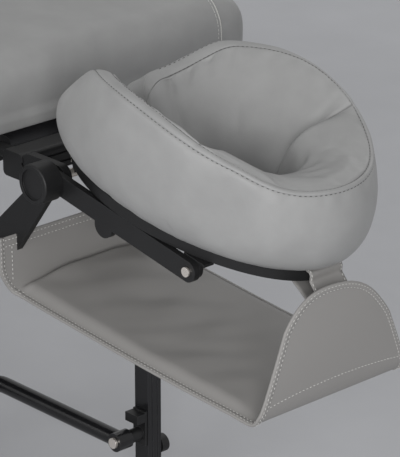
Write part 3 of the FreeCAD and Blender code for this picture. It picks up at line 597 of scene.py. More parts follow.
class TABLE_OT_finishes(bpy.types.Operator):
    """Finishes of the frame, legs, face rest hardware and fittings"""

    bl_idname = "treatment_table.finishes"
    bl_label = "Frame finishes"

    def execute(self, context):
        colours = context.scene.table_finishes
        black, plastic, vinyl = tuple(colours.black), tuple(colours.plastic), tuple(colours.vinyl)
        finishes = {
            "black_aluminium": hard_finish("black_anodised", black, 0.22, 2600.0, 0.06, (0.10, 0.10, 0.11),
                                           stretch=(1.0, 1.0, 0.04)),
            "black_plastic": hard_finish("moulded_nylon", plastic, 0.46, 1700.0, 0.22, (0.06, 0.06, 0.063),
                                         specular=0.4),
            "black_steel": hard_finish("black_powder_coat", plastic, 0.42, 1300.0, 0.28, (0.09, 0.09, 0.09)),
            "silver_aluminium": hard_finish("plain_aluminium", (0.55, 0.55, 0.56), 0.33, 900.0, 0.12,
                                            (0.75, 0.75, 0.76), metallic=1.0, stretch=(1.0, 1.0, 0.03)),
            "steel": hard_finish("bright_zinc", (0.86, 0.80, 0.74), 0.30, 700.0, 0.10, (0.85, 0.82, 0.78),
                                 metallic=0.8, round_edge=0.0006),
            "rubber": hard_finish("black_rubber", (0.016, 0.016, 0.016), 0.78, 900.0, 0.35,
                                  (0.05, 0.05, 0.05), specular=0.3),
            "deck_board": hard_finish("wrapped_board", (0.02, 0.02, 0.021), 0.62, 420.0, 0.3,
                                      (0.07, 0.065, 0.06)),
        }
        cover = vinyl_cover("grey_vinyl", vinyl)
        # the same vinyl with painted shade along its seam creases
        vinyl_cover("grey_vinyl_shaded_seams", vinyl, with_seam_shade=True)
        thread_finish("cushion_thread", tuple(colours.thread))
        thread_finish("sling_thread", tuple(colours.pale_thread))
        slots = {row["node"]: row["material_slot"] for row in frame["record"]["subparts"]}
        for name, piece in frame["nodes"].items():
            piece.data.materials.clear()
            piece.data.materials.append(finishes.get(slots[name], cover))
        return {"FINISHED"}


class TABLE_OT_pads(bpy.types.Operator):
    """The two table pads with rolled edges and upright corner seams"""

    bl_idname = "treatment_table.pads"
    bl_label = "Table pads"

    # Edge from the top over the side to underneath: share of the roll outwards, share of the thickness up
    rounding = [(0.0, 1.0), (0.25, 0.992), (0.48, 0.962), (0.68, 0.90), (0.84, 0.805), (0.95, 0.68),
                (0.995, 0.54), (1.0, 0.40), (0.995, 0.26), (0.982, 0.13), (0.962, 0.03), (0.94, -0.025),
                (0.905, -0.045), (0.872, -0.03), (0.862, 0.0), (0.80, 0.0)]
    # Roll of the edge at the fold against the others, squareness of the corners and reach of the crown
    tight = 0.30
    corner_power = 0.55
    crown_reach = 0.22
    # Lower share of the thickness that is stapled to the board, and the depth of the upright seams
    stapled = 0.16
    seam_dent = 0.0012
    # Upright seam: heights of its line as shares of the thickness, then two rows of stitches, each as
    # distance from the seam, pitch, length and width
    seam_heights = (0.10, 0.3, 0.5, 0.7, 0.85)
    seam_rows = [(0.0, 0.0030, 0.0044, 0.0016), (0.0045, 0.0052, 0.0040, 0.0008)]

    def execute(self, context):
        sizes = context.scene.table_pads
        for name, body, sign in (("head_pad", "head_half", 1.0), ("foot_pad", "foot_half", -1.0)):
            low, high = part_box(name)
            self.make_pad(sizes, name, body, sign, Vector(low), Vector(high))
        return {"FINISHED"}

    def make_pad(self, sizes, name, body, sign, low, high):
        """One pad as a flat grid rolled over its edges; the fold end has a tight edge."""
        thick = high.z - low.z - sizes.crown
        roll, tight = sizes.edge_round, self.tight
        fold_x, end_x = (low.x, high.x) if sign > 0 else (high.x, low.x)
        span = abs(end_x - fold_x)
        half = (high.y - low.y) / 2.0
        edge = smooth_line(self.rounding, 2)
        flat_x = span - roll - roll * tight
        flat_y = 2.0 * (half - roll)
        nx = round(flat_x / sizes.cell)
        ny = round(flat_y / sizes.cell)
        steps = len(edge) - 1
        bm = bmesh.new()
        # mask for painted seam shade, left at nothing on the pads
        bm.verts.layers.float.new("painted_seam_shade")
        for vertex, i, j in grid_cells(bm, nx + 2 * steps, ny + 2 * steps):
            over_x = max(0, steps - i) + max(0, i - nx - steps)
            over_y = max(0, steps - j) + max(0, j - ny - steps)
            x = roll * tight + flat_x * (clamp(i - steps, 0, nx) / nx)
            y = -half + roll + flat_y * (clamp(j - steps, 0, ny) / ny)
            out, up = edge[max(over_x, over_y)]
            if over_x >= over_y:
                angle = pi / 4.0 * over_y / max(1, over_x)
            else:
                angle = pi / 2.0 - pi / 4.0 * over_x / over_y
            if over_x:
                x += roll * out * cos(angle) ** self.corner_power * (-tight if i < steps else 1.0)
            if over_y:
                y += roll * out * sin(angle) ** self.corner_power * (-1.0 if j < steps else 1.0)
            inside = min(x, span - x, y + half, half - y)
            crown = sizes.crown * ease(0.0, self.crown_reach, inside) * ease(0.5, 1.0, up)
            vertex.co = Vector((fold_x + sign * x, y, low.z + thick * up + crown))
        rim = [e for e in bm.edges if e.is_boundary]
        under = bmesh.ops.contextual_create(bm, geom=rim)
        bmesh.ops.triangulate(bm, faces=under["faces"])
        face_out(bm)
        pad = new_piece(name + "_cover", bm, "grey_vinyl_shaded_seams")
        swell(pad, [v.index for v in pad.data.vertices if v.co.z < low.z + self.stapled * thick], sizes.swell)
        seam_y = half - sizes.corner_seam
        self.dent_seams(pad, end_x, seam_y, low.z, thick)
        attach(pad, body)
        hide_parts(name)
        self.sew_seams(pad, name, sign, end_x, seam_y, low.z, thick)

    def dent_seams(self, pad, end_x, seam_y, low_z, thick):
        """Pinch the cover along the upright seams on the end face."""
        normals = [v.normal.copy() for v in pad.data.vertices]
        for vertex, normal in zip(pad.data.vertices, normals):
            up = (vertex.co.z - low_z) / thick
            if abs(end_x - vertex.co.x) <= 0.05 and up >= 0.1:
                pinch = hump(abs(vertex.co.y) - seam_y, 0.0, 0.014) * ease(0.995, 0.8, up)
                vertex.co -= normal * self.seam_dent * pinch

    def sew_seams(self, pad, name, sign, end_x, seam_y, low_z, thick):
        tree = final_tree(pad)
        bm = bmesh.new()
        for side in (-1.0, 1.0):
            for away, pitch, length, width in self.seam_rows:
                y = side * (seam_y - away)
                keys = [(end_x + sign * 0.004, y, low_z + thick * share) for share in self.seam_heights]
                keys.append((end_x - sign * 0.030, y, low_z + thick * 1.02))
                line = even_points([Vector(place) for place in smooth_line(keys, 24)], 0.002)
                stitch_row(bm, tree, line, pitch, length, width)
        thread = new_piece(name + "_seam_thread", bm, "sling_thread")
        thread.parent = pad


class TABLE_OT_face_cushion(bpy.types.Operator):
    """Horseshoe face cushion with its rim seam, funnel seams and stitching"""

    bl_idname = "treatment_table.face_cushion"
    bl_label = "Face cushion"

    # Outlines as length, half width and centre back from the ring's front; the funnel as blend from the
    # hole to the rim and share of the rim's height; the chin as that share alone, steeper at the front
    hole = (0.150, 0.048, 0.160)
    rim = (0.318, 0.121, 0.156)
    funnel = [(0.00, 0.00), (0.00, 0.05), (0.015, 0.12), (0.05, 0.21), (0.12, 0.32), (0.23, 0.44),
              (0.37, 0.56), (0.53, 0.68), (0.70, 0.79), (0.85, 0.885), (0.95, 0.960)]
    chin = [(share,) for share in (0.0, 0.08, 0.28, 0.52, 0.69, 0.80, 0.87, 0.92, 0.955, 0.98, 0.993, 1.0)]
    outside = [(0.318, 0.121, 0.156, 1.0), (0.350, 0.1295, 0.166, 0.958), (0.372, 0.133, 0.1725, 0.85),
               (0.395, 0.136, 0.179, 0.70), (0.414, 0.1372, 0.185, 0.56), (0.420, 0.137, 0.187, 0.43),
               (0.417, 0.135, 0.187, 0.30), (0.408, 0.130, 0.186, 0.185), (0.394, 0.122, 0.185, 0.09),
               (0.378, 0.113, 0.184, 0.03), (0.358, 0.103, 0.182, 0.0), (0.290, 0.086, 0.175, 0.0),
               (0.215, 0.066, 0.168, 0.0)]
    # Rounded ends of the lobes: share of the full section, share of the depth
    caps = [(0.988, 0.22), (0.955, 0.42), (0.89, 0.62), (0.78, 0.79), (0.62, 0.91), (0.40, 0.98), (0.14, 1.0)]
    # Levels at the rim seam, the topstitched line and the lower seam, counted from the rim
    seam_levels = (-0.62, -0.34, -0.12, 0.0, 0.06, 0.16, 0.5, 0.84, 0.95, 1.0, 1.05, 1.16, 8.42, 8.58)
    low_seam = 8.5
    low_middle = radians(-42.0)
    low_reach = radians(46.0)
    # Columns round the cushion, and closer ones at each funnel seam in degrees from it
    columns = 150
    seam_columns = (-1.9, -0.8, 0.0, 0.8, 1.9)
    # Angles where the chin ends and is full, and where the lobes' slope starts and is full
    chin_turn = (radians(77.0), radians(60.0))
    lobe_turn = (radians(132.0), radians(156.0))
    # Wave of the rim from front to back, then stretches back along the rim: where the lobes fall, where the
    # cheek on the knob's side grows and ends, and where its lobe drops; the last two have one to the side too
    wave_lead, wave_length = 0.005, 0.380
    lobe_falls = (0.260, 0.330)
    cheek_grows, cheek_ends, cheek_side = (0.0, 0.06), (0.305, 0.265), (0.02, 0.11)
    near_drops, near_side = (0.270, 0.300), (0.0, 0.03)
    # Sunk seams and the strength of the shade painted into their creases
    line_sink, side_sink = 0.0010, 0.0014
    rim_dark, side_dark, low_dark = 0.95, 0.55, 0.7
    # Puckers under the rim: degrees, depth and reach; folds in the front: level and depth
    puckers = [(176, 1.0, 0.035), (168, 0.8, 0.03), (161, 1.2, 0.03), (152, 1.0, 0.035), (143, 0.9, 0.04),
               (133, 0.5, 0.04), (-150, 0.6, 0.05), (-128, 0.5, 0.05)]
    pucker_depth = 0.0056
    folds = [(4.0, 0.9), (5.2, 1.3), (6.3, 1.2), (7.4, 0.9)]
    fold_depth, fold_swell = 0.0036, 0.0024
    # Unevenness of the cover: scale, offset and height
    uneven = [(17.0, Vector((3.1, 0.4, 7.7)), 0.0016), (46.0, Vector((1.7, 8.2, 2.3)), 0.0005)]

    def execute(self, context):
        sizes = context.scene.table_cushion
        self.keys = [tuple(between(a, b, blend) for a, b in zip(self.hole, self.rim)) + (share,)
                     for blend, share in self.funnel] + self.outside
        self.crest = len(self.funnel)
        self.topstitch = self.crest + 1
        self.base_edge = self.crest + 10
        self.stations = self.level_stations()
        self.angles = self.round_angles(sizes)
        piece = self.make_cover(sizes)
        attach(piece, "rest_ring_body")
        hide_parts("face_cushion")
        self.sew(sizes, piece)
        return {"FINISHED"}

    def level_stations(self):
        """Places up the funnel, over the rim, down the wall and back under, closer at the seams."""
        up = [i / 2.0 for i in range(2 * self.crest - 1)]
        seam = [self.crest + level for level in self.seam_levels]
        down = [self.crest + 1.5 + i / 2.0 for i in range(2 * (len(self.keys) - self.crest) - 3)]
        return sorted(up + seam + down) + [float(len(self.keys))]

    def round_angles(self, sizes):
        end = pi - sizes.lobe_angle
        even = [-end + 2.0 * end * i / self.columns for i in range(self.columns + 1)]
        fine = []
        for at in (-sizes.side_seam, sizes.side_seam):
            even = [a for a in even if abs(a - at) > radians(2.6)]
            fine += [at + radians(d) for d in self.seam_columns]
        return sorted(even + fine)

    def skin_point(self, sizes, angle, station):
        """Place of the cover in the ring's plane: back from its front edge, to the side and above."""
        length, half, centre, share = curve_at(self.keys, station, closed=True)
        if station < self.crest:
            share = between(share, curve_at(self.chin, station)[0], ease(*self.chin_turn, abs(angle)))
        full = sin(pi * clamp(share)) ** 0.7 * ease(self.crest, self.crest + 1.5, station)
        back = centre - length / 2.0 * cos(angle)
        back -= sizes.lobe_slope * full * ease(*self.lobe_turn, abs(angle))
        side = half * sin(angle)
        rise = sizes.base + max(0.0, share) * (self.rim_at(sizes, angle, side) - sizes.base)
        return Vector((back, side, rise))

    def rim_at(self, sizes, angle, side):
        """Height of the rim: highest at the cheeks, fuller on the knob's side, lower at the lobes."""
        back = self.rim[2] - self.rim[0] / 2.0 * cos(angle)
        wave = sin(pi * (back + self.wave_lead) / self.wave_length)
        rim = sizes.rim_height + sizes.rim_rise * wave * wave
        rim -= sizes.lobe_fall * ease(*self.lobe_falls, back)
        rim += (sizes.near_rise * ease(*self.cheek_side, -side) * ease(*self.cheek_grows, back)
                * ease(*self.cheek_ends, back))
        rim -= sizes.near_rise * ease(*self.near_drops, back) * ease(*self.near_side, -side)
        return rim

    def make_cover(self, sizes):
        columns = [(self.angles[0], full, depth) for full, depth in reversed(self.caps)]
        columns += [(angle, 1.0, 0.0) for angle in self.angles]
        columns += [(self.angles[-1], full, depth) for full, depth in self.caps]
        bm = bmesh.new()
        # mask for the shade painted along the seams
        bm.verts.layers.float.new("painted_seam_shade")
        level = bm.verts.layers.float.new("level")
        turn = bm.verts.layers.float.new("turn")
        centres = {}
        for angle in (self.angles[0], self.angles[-1]):
            points = [self.skin_point(sizes, angle, s) for s in self.stations[:-1]]
            centres[angle] = sum(points, Vector()) / len(points)
        for vertex, i, j in grid_cells(bm, len(columns) - 1, len(self.stations) - 1):
            angle, full, depth = columns[i]
            spot = self.skin_point(sizes, angle, self.stations[j])
            if full < 1.0:
                centre = centres[angle]
                spot = Vector((between(centre.x, spot.x, full), spot.y, between(centre.z, spot.z, full)))
                spot.z = max(spot.z, sizes.base)
                spot.y -= math.copysign(sizes.lobe_round * depth, angle)
            vertex[level] = self.stations[j]
            vertex[turn] = angle
            vertex.co = on_ring(*spot)
        bmesh.ops.remove_doubles(bm, verts=bm.verts, dist=1e-6)
        bmesh.ops.holes_fill(bm, edges=[e for e in bm.edges if e.is_boundary], sides=0)
        face_out(bm)
        piece = new_piece("face_cushion_cover", bm, "grey_vinyl_shaded_seams")
        self.pinch_seams(sizes, piece)
        swell(piece, self.sewn_points(sizes, piece), sizes.swell, slack=0.004)
        self.work_cover(sizes, piece)
        return soften(piece)

    def marked(self, piece):
        """Each vertex of the cover with its normal, its level and its angle round from the front."""
        vertices = piece.data.vertices
        normals = [v.normal.copy() for v in vertices]
        marks = [piece.data.attributes[name].data for name in ("level", "turn")]
        level, turn = ([item.value for item in mark] for mark in marks)
        return list(zip(vertices, normals, level, turn))

    def on_side_seam(self, sizes, at, angle):
        return abs(abs(angle) - sizes.side_seam) < 1e-4 and at < self.crest

    def sewn_points(self, sizes, piece):
        """Points held by seams or by the ring under the cushion."""
        held = []
        for vertex, _, at, angle in self.marked(piece):
            under = at >= self.base_edge - 0.6 or at <= 0.6
            sewn = min(abs(at - self.crest), abs(at - self.topstitch)) < 0.01
            if under or sewn or self.on_side_seam(sizes, at, angle):
                held.append(vertex.index)
        return held

    def pinch_seams(self, sizes, piece):
        """Sink the rim seam, the topstitched line, the funnel seams and the lower seam; paint shade along
        their creases.
        """
        painted_seam_shade = piece.data.attributes["painted_seam_shade"].data
        for vertex, normal, at, angle in self.marked(piece):
            rim = hump(at, self.crest, 0.5 if at < self.crest else 0.22)
            top = hump(at, self.topstitch, 0.2)
            side = hump(abs(angle), sizes.side_seam, radians(2.0)) * ease(self.topstitch, self.crest, at)
            side *= ease(0.2, 1.6, at)
            along = hump(angle, self.low_middle, self.low_reach)
            low = hump(at, self.crest + self.low_seam, 0.2) * along
            sink = sizes.seam_depth * rim + self.line_sink * (top + low) + self.side_sink * side * (1.0 - rim)
            vertex.co -= normal * sink
            # painted shade: dark lines along the rim seam, the lower seam and the funnel seams, standing for
            # the shade in their creases
            dark = 0.0
            if abs(at - self.crest) < 0.01:
                dark = self.rim_dark
            elif abs(at - self.crest - self.low_seam) < 0.01:
                dark = self.low_dark * along ** 0.5
            elif at > 0.5 and self.on_side_seam(sizes, at, angle):
                dark = self.side_dark
            painted_seam_shade[vertex.index].value = dark
        piece.data.update()

    def work_cover(self, sizes, piece):
        """Puckers under the rim seam, folds in the front of the funnel and the unevenness of a sewn cover."""
        crest, edge = self.crest, self.base_edge
        for vertex, normal, at, angle in self.marked(piece):
            degrees = math.degrees(angle)
            shift = 0.0
            if at < crest:
                near_rim = ease(crest - 3.4, crest - 1.3, at) * ease(crest, crest - 0.4, at)
                for place, depth, reach in self.puckers:
                    shift -= self.pucker_depth * depth * near_rim * hump(angle, radians(place), reach)
                front = hump(degrees, 22.0, 52.0)
                for place, depth in self.folds:
                    bent = place + 0.010 * (degrees - 15.0) + 0.35 * sin(0.09 * degrees + place)
                    shift -= self.fold_depth * depth * front * hump(at, bent, 0.62)
                    shift += self.fold_swell * depth * front * hump(at, bent + 0.75, 0.7)
            seam = hump(at, crest, 0.6) + hump(at, self.topstitch, 0.3)
            soft = max(0.0, 1.0 - seam) * ease(0.2, 1.5, at) * ease(edge - 0.3, edge - 2.5, at)
            shift += soft * sum(height * noise.noise(vertex.co * scale + offset)
                                for scale, offset, height in self.uneven)
            vertex.co += normal * shift
            lift = NORMAL.dot(vertex.co - RING_FRONT) - sizes.base
            if lift < 0.0:
                vertex.co -= NORMAL * lift
        piece.data.update()

    def level_line(self, piece, station):
        """The cover's points along one level, in order round the cushion."""
        found = [(angle, v.co.copy()) for v, _, at, angle in self.marked(piece)
                 if abs(at - station) < 0.005 and self.angles[0] < angle < self.angles[-1]]
        return [co for _, co in sorted(found, key=lambda row: row[0])]

    def sew(self, sizes, piece):
        tree = final_tree(piece)
        pitch = sizes.stitch_pitch
        bm = bmesh.new()
        stitch_row(bm, tree, self.level_line(piece, self.topstitch), pitch, pitch * 0.62, 0.0011, lean=0.12)
        stitch_row(bm, tree, self.level_line(piece, self.crest), pitch * 0.9, pitch * 0.60, 0.0010)
        thread = new_piece("face_cushion_thread", bm, "cushion_thread")
        thread.parent = piece


class TABLE_OT_sling(bpy.types.Operator):
    """Arm sling with bound edges, stitched hem, rod sleeve and the strap round the ring"""

    bl_idname = "treatment_table.sling"
    bl_label = "Arm sling"

    # Outline of the tongue's top: place across, share of its height; skewed to the knob's side
    arch = [(-0.70, 0.72), (-0.64, 0.80), (-0.565, 0.878), (-0.49, 0.928), (-0.42, 0.962), (-0.34, 0.985),
            (-0.25, 0.997), (-0.15, 1.0), (-0.05, 0.995), (0.05, 0.983), (0.15, 0.962), (0.25, 0.930),
            (0.34, 0.888), (0.42, 0.838), (0.49, 0.782), (0.565, 0.71), (0.64, 0.632), (0.70, 0.56)]
    arch_half = 0.70
    # How much the tongue narrows on each side, and how far it bows out
    far_taper, near_taper = 0.30, 0.27
    tongue_bow = 0.004
    # Rod from the arm pivot, hem in front of and above the rod, floor below the rod and its fall
    rod_from_pivot = Vector((-0.078, 0.0, -0.101))
    hem_reach, hem_rise = 0.0171, 0.020
    floor_drop, floor_fall, floor_sag = 0.049, 0.034, 0.016
    # Belly and tip of the tongue from the ring's front edge
    belly_reach = 0.014
    tip_reach, tip_drop = 0.024, 0.003
    # Mesh of the cloth: step of its rows, rows in the tongue, columns, and how they crowd to the sides
    row_step, tongue_rows, columns, crowding = 0.0062, 22, 40, 1.12
    # Stretch of the cloth over which the back panel narrows to the floor
    narrowing = (0.035, 0.085)
    # Padded floor: where it starts and ends, fuller back, loose dents
    floor_start, floor_end = (0.066, 0.076), (-0.010, -0.060)
    back_fill, dent_depth = 0.012, 0.0042
    # Sleeve round the rod: radius, half length and thickness; the strap's thickness
    sleeve_ring, sleeve_half, sleeve_cloth = 0.0071, 0.0935, 0.0014
    strap_cloth = 0.0014
    # Stitches: length against the pitch, widths on the binding, the hem and the tongue's lower seam
    stitch_share = 0.66
    edge_stitch, hem_stitch, low_stitch = 0.0008, 0.0011, 0.0010

    def execute(self, context):
        sizes = context.scene.table_sling
        self.set_out()
        cloth = self.make_cloth(sizes)
        binding = self.make_binding(sizes, cloth)
        sleeve = self.make_sleeve()
        thread = self.sew(sizes, cloth, binding)
        for piece in (cloth, binding, sleeve, thread):
            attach(piece, "rest_arms")
        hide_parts("arm_sling")
        self.make_strap(sizes)
        return {"FINISHED"}

    def set_out(self):
        """Side-on line of the cloth from its top edge to the tip of the tongue."""
        rod = ARM_PIVOT + self.rod_from_pivot
        self.rod = Vector((rod.x, 0.0, rod.z))
        hem = self.rod.x + self.hem_reach
        back = self.rod.z - self.floor_drop
        front = back - self.floor_fall
        belly = RING_FRONT.x + self.belly_reach
        tip = Vector((RING_FRONT.x + self.tip_reach, 0.0, RING_FRONT.z - self.tip_drop))
        line = [(hem, self.rod.z + self.hem_rise), (hem + 0.0006, self.rod.z - 0.0123),
                (hem + 0.0012, back + 0.0120), (hem + 0.0034, back + 0.0030), (hem + 0.0105, back - 0.0010),
                (hem + 0.028, back - 0.0045)]
        for share in (0.3, 0.5, 0.7, 0.88):
            sag = self.floor_sag * share * (1.0 - share)
            line.append((hem + share * (belly - hem), back - self.floor_fall * share - sag))
        line += [(belly - 0.012, front), (belly - 0.0015, front + 0.009), (belly + 0.003, front + 0.026),
                 (belly + 0.0072, front + 0.62 * (tip.z - front)), (tip.x, tip.z)]
        self.fine = [Vector((x, 0.0, z)) for x, z in smooth_line(line, 30)]
        self.hem_x, self.front, self.belly, self.tip = hem, front, belly, tip

    def tongue_x(self, z):
        """How far out the side-on line of the tongue lies at a height."""
        rising = [p for p in self.fine if p.x > self.belly - 0.002]
        for a, b in zip(rising, rising[1:]):
            if a.z <= z <= b.z:
                return between(a.x, b.x, (z - a.z) / max(1e-9, b.z - a.z))
        return rising[-1].x if z > rising[-1].z else rising[0].x

    def make_cloth(self, sizes):
        """A flat grid laid along the line: back panel, tray floor, then the arched tongue."""
        lower = []
        for point in self.fine:
            lower.append(point)
            if point.x > self.belly - 0.005 and point.z >= self.front + 0.010:
                break
        start = lower[-1].z
        rise = self.tip.z - start
        rows = even_points(lower, self.row_step)
        walked = walked_lengths(rows)
        bm = bmesh.new()
        run = bm.verts.layers.float.new("run")
        side = bm.verts.layers.float.new("side")
        for vertex, i, _ in grid_cells(bm, len(rows) - 1 + self.tongue_rows, self.columns):
            t = vertex.co.y
            t = math.copysign(1.0 - (1.0 - abs(t)) ** self.crowding, t)
            if i < len(rows):
                far = walked[i]
                half = between(sizes.hem_half, sizes.tray_half, ease(*self.narrowing, far))
                lift = self.floor_lift(sizes, far, walked[-1], t * half, half)
                vertex.co = Vector((rows[i].x, t * half, rows[i].z)) + lift
            else:
                up = (i - len(rows) + 1) / self.tongue_rows
                far = walked[-1] + up * rise
                y = t * sizes.tray_half * (1.0 - (self.far_taper if t > 0.0 else self.near_taper) * up)
                z = start + rise * up * table_value(self.arch, self.arch_half * t)
                bow = self.tongue_bow * sin(pi * up) * (1.0 - t * t)
                vertex.co = Vector((self.tongue_x(z) + bow, y, z))
            vertex[run] = far
            vertex[side] = t
        face_out(bm)
        tray = on_table(1.2, 0.0, 0.44)
        middle = min(bm.faces, key=lambda f: (f.calc_center_median() - tray).length)
        if middle.normal.z < 0.0:
            bmesh.ops.reverse_faces(bm, faces=bm.faces)
        tongue = [v for v in bm.verts if v[run] > walked[-1] - 0.02 and not v.is_boundary]
        bmesh.ops.smooth_vert(bm, verts=tongue, factor=0.5, use_axis_x=True, use_axis_y=True, use_axis_z=True)
        cloth = new_piece("arm_sling_cloth", bm, "grey_vinyl")
        return soften(thicken(cloth, sizes.cloth))

    def floor_lift(self, sizes, far, length, y, half):
        """Padded floor: a pillow inside the binding, fuller at the back, with loose dents."""
        inset = half - abs(y)
        floor = ease(*self.floor_start, far) * ease(*(length + end for end in self.floor_end), far)
        pillow = sizes.pillow * ease(0.005, 0.019, inset) * floor
        back = self.back_fill * hump(far, 0.078, 0.15) * ease(0.066, 0.075, far) * ease(0.0, 0.085, inset)
        dent = noise.noise(Vector((far * 15.0 + y * 6.0, y * 9.0, 0.7)))
        dent += 0.6 * noise.noise(Vector((far * 30.0 - y * 14.0, y * 16.0, 4.2)))
        loose = self.dent_depth * dent * floor * ease(0.006, 0.05, inset)
        return Vector((0.0, 0.0, pillow + back + loose))

    def edge_path(self, cloth):
        """Points along the cloth's side and arch edges, with their inward directions and normals."""
        bm = bmesh.new()
        bm.from_mesh(cloth.data)
        run, side = bm.verts.layers.float["run"], bm.verts.layers.float["side"]
        rim = [v for v in bm.verts if v.is_boundary]
        last = max(v[run] for v in rim) - 1e-5
        near = sorted((v for v in rim if v[side] < -0.999), key=lambda v: v[run])
        arch = sorted((v for v in rim if v[run] > last and abs(v[side]) < 0.999), key=lambda v: v[side])
        far = sorted((v for v in rim if v[side] > 0.999), key=lambda v: -v[run])
        path = near + arch + far
        places = [v.co.copy() for v in path]
        normals = [v.normal.copy() for v in path]
        bm.free()
        around = [(max(k - 1, 0), k, min(k + 1, len(places) - 1)) for k in range(len(places))]
        inward = []
        for (before, k, after), normal in zip(around, normals):
            tangent = (places[after] - places[before]).normalized()
            inward.append(normal.cross(tangent).normalized())
        for _ in range(2):
            inward = [(inward[before] + inward[k] * 2.0 + inward[after]).normalized()
                      for before, k, after in around]
        if inward[len(places) // 2].z > 0.0:
            inward = [-v for v in inward]
        return places, inward, normals

    def make_binding(self, sizes, cloth):
        """Flat tape folded over the edge of the cloth."""
        self.path = self.edge_path(cloth)
        wide, half = sizes.binding, sizes.cloth / 2.0
        face = [(-0.0004, half * 0.8), (0.0004, half + 0.0004), (wide * 0.5, half + 0.0006),
                (wide * 0.94, half + 0.0005), (wide, half - 0.0002)]
        section = [(-0.0006, 0.0)] + face + [(into, -out) for into, out in reversed(face)]
        bm = bmesh.new()
        edge_sweep(bm, *self.path, section)
        return new_piece("arm_sling_binding", bm, "grey_vinyl")

    def make_sleeve(self):
        """Loop of the hem that the rod passes through."""
        rod, ring = self.rod, self.sleeve_ring
        front = self.hem_x - 0.0022
        line = [(front, rod.z + ring + 0.004), (front - 0.004, rod.z + ring + 0.0012), (rod.x, rod.z + ring)]
        for turn in range(110, 271, 20):
            line.append((rod.x + ring * cos(radians(turn)), rod.z + ring * sin(radians(turn))))
        line += [(front - 0.004, rod.z - ring - 0.0012), (front, rod.z - ring - 0.005)]
        bm = bmesh.new()
        band(bm, line, -self.sleeve_half, 2.0 * self.sleeve_half)
        face_out(bm)
        return thicken(new_piece("arm_sling_sleeve", bm, "grey_vinyl"), self.sleeve_cloth)

    def sew(self, sizes, cloth, binding):
        """Two rows on the binding, two along the hem, a seam up each side and the tongue's lower seam."""
        bm = bmesh.new()

        def row(tree, line, width):
            stitch_row(bm, tree, line, sizes.stitch_pitch, sizes.stitch_pitch * self.stitch_share, width)

        tape, cover = final_tree(binding), final_tree(cloth)
        for inset in (sizes.binding * 0.30, sizes.binding * 0.88):
            for face in (1.0, -1.0):
                row(tape, [p + i * inset + n * face * 0.004 for p, i, n in zip(*self.path)], self.edge_stitch)
        front, top = self.hem_x + 0.006, self.rod.z + self.hem_rise
        for drop in (0.004, 0.0115):
            row(cover, [Vector((front, y * MM, top - drop)) for y in range(-128, 129, 2)], self.hem_stitch)
        for y in (-0.112, 0.112):
            row(cover, [Vector((front, y, top - 0.012 - 0.002 * k)) for k in range(22)], self.hem_stitch)
        low = self.front + 0.020
        row(cover, [Vector((self.belly + 0.012, y * MM, low + 0.008 * (1.0 - (y / 100.0) ** 2)))
                    for y in range(-98, 99, 2)], self.low_stitch)
        return new_piece("arm_sling_thread", bm, "sling_thread")

    def make_strap(self, sizes):
        """Band looped round the ring's front bar and sewn to the inside of the tongue."""
        def ring(back, rise):
            return on_ring(back, 0.0, rise)

        low, high = (Vector((self.tongue_x(z) - 0.0040, 0.0, z))
                     for z in (RING_FRONT.z - 0.044, RING_FRONT.z - 0.024))
        bar = ring(-0.0026, -0.004)
        corners = [low, low.lerp(high, 0.5), high, high.lerp(bar, 0.5), bar, ring(-0.0022, 0.003),
                   ring(0.0006, 0.0062), ring(0.006, 0.0066), ring(0.028, 0.0066), ring(0.0325, 0.0040),
                   ring(0.0332, -0.004), ring(0.0310, -0.012), low + Vector((-0.0040, 0.0, 0.004)),
                   low + Vector((-0.0012, 0.0, -0.001))]
        line = even_points(corners, 0.0024)
        half = sizes.strap_half
        bm = bmesh.new()
        band(bm, [(p.x, p.z) for p in line], -half, 2.0 * half)
        crossing = [e for e in bm.edges if abs(e.verts[0].co.y - e.verts[1].co.y) > half]
        bmesh.ops.subdivide_edges(bm, edges=crossing, cuts=9, use_grid_fill=True)
        face_out(bm)
        bmesh.ops.solidify(bm, geom=bm.faces[:], thickness=self.strap_cloth)
        face_out(bm)
        strap = new_piece("sling_strap_band", bm, "grey_vinyl")
        tree = final_tree(strap)
        bm = bmesh.new()
        for y in (-half + 0.0042, half - 0.0042):
            row = [Vector((p.x, y, p.z)) for p in line if p.z > low.z]
            outer = [p + (p - ring(0.015, -0.004)).normalized() * 0.003 for p in row]
            stitch_row(bm, tree, outer, 0.0050, 0.0036, 0.0013)
        thread = new_piece("sling_strap_thread", bm, "sling_thread")
        for piece in (strap, thread):
            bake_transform(piece, "rest_arms", "rest_ring_body", start=high - Vector((0.0, 0.0, 0.002)),
                     end=ring(0.010, -0.008))
        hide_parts("sling_strap")


class TABLE_PT_panel(bpy.types.Panel):
    """Sizes and steps of the treatment table"""

    bl_idname = "TABLE_PT_panel"
    bl_label = "Treatment table"
    bl_space_type = "VIEW_3D"
    bl_region_type = "UI"
    bl_category = "Table"

    def draw(self, context):
        column = self.layout.column()
        for operator in OPERATORS:
            column.operator(operator.bl_idname)
        for group in GROUPS:
            settings = getattr(context.scene, group)
            for name in settings.bl_rna.properties.keys():
                if name not in ("rna_type", "name"):
                    column.prop(settings, name)


OPERATORS = (TABLE_OT_stage, TABLE_OT_finishes, TABLE_OT_pads, TABLE_OT_face_cushion, TABLE_OT_sling)
GROUPS = {
    "table_stage": StageSizes,
    "table_finishes": TableFinishes,
    "table_pads": PadSizes,
    "table_cushion": CushionSizes,
    "table_sling": SlingSizes,
}


def register():
    for group in GROUPS.values():
        bpy.utils.register_class(group)
    for name, group in GROUPS.items():
        setattr(bpy.types.Scene, name, PointerProperty(type=group))
    for operator in OPERATORS:
        bpy.utils.register_class(operator)
    bpy.utils.register_class(TABLE_PT_panel)


def unregister():
    bpy.utils.unregister_class(TABLE_PT_panel)
    for operator in reversed(OPERATORS):
        bpy.utils.unregister_class(operator)
    for name, group in GROUPS.items():
        delattr(bpy.types.Scene, name)
        bpy.utils.unregister_class(group)


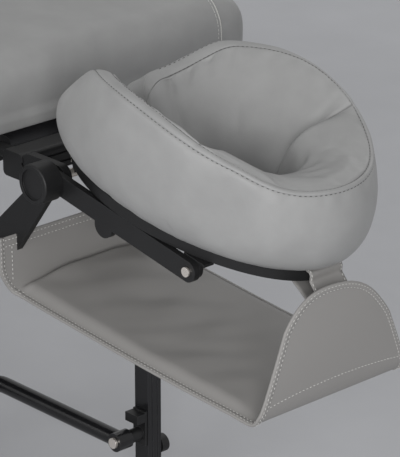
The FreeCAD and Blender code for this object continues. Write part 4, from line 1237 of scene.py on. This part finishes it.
def main():
    register()
    for thing in list(bpy.data.objects):
        if thing.name in ("Cube", "Light", "Camera"):
            bpy.data.objects.remove(thing)
    bpy.ops.treatment_table.stage()
    bpy.ops.treatment_table.finishes()
    bpy.ops.treatment_table.pads()
    bpy.ops.treatment_table.face_cushion()
    bpy.ops.treatment_table.sling()
    bpy.context.view_layer.update()


if __name__ == "__main__":
    main()
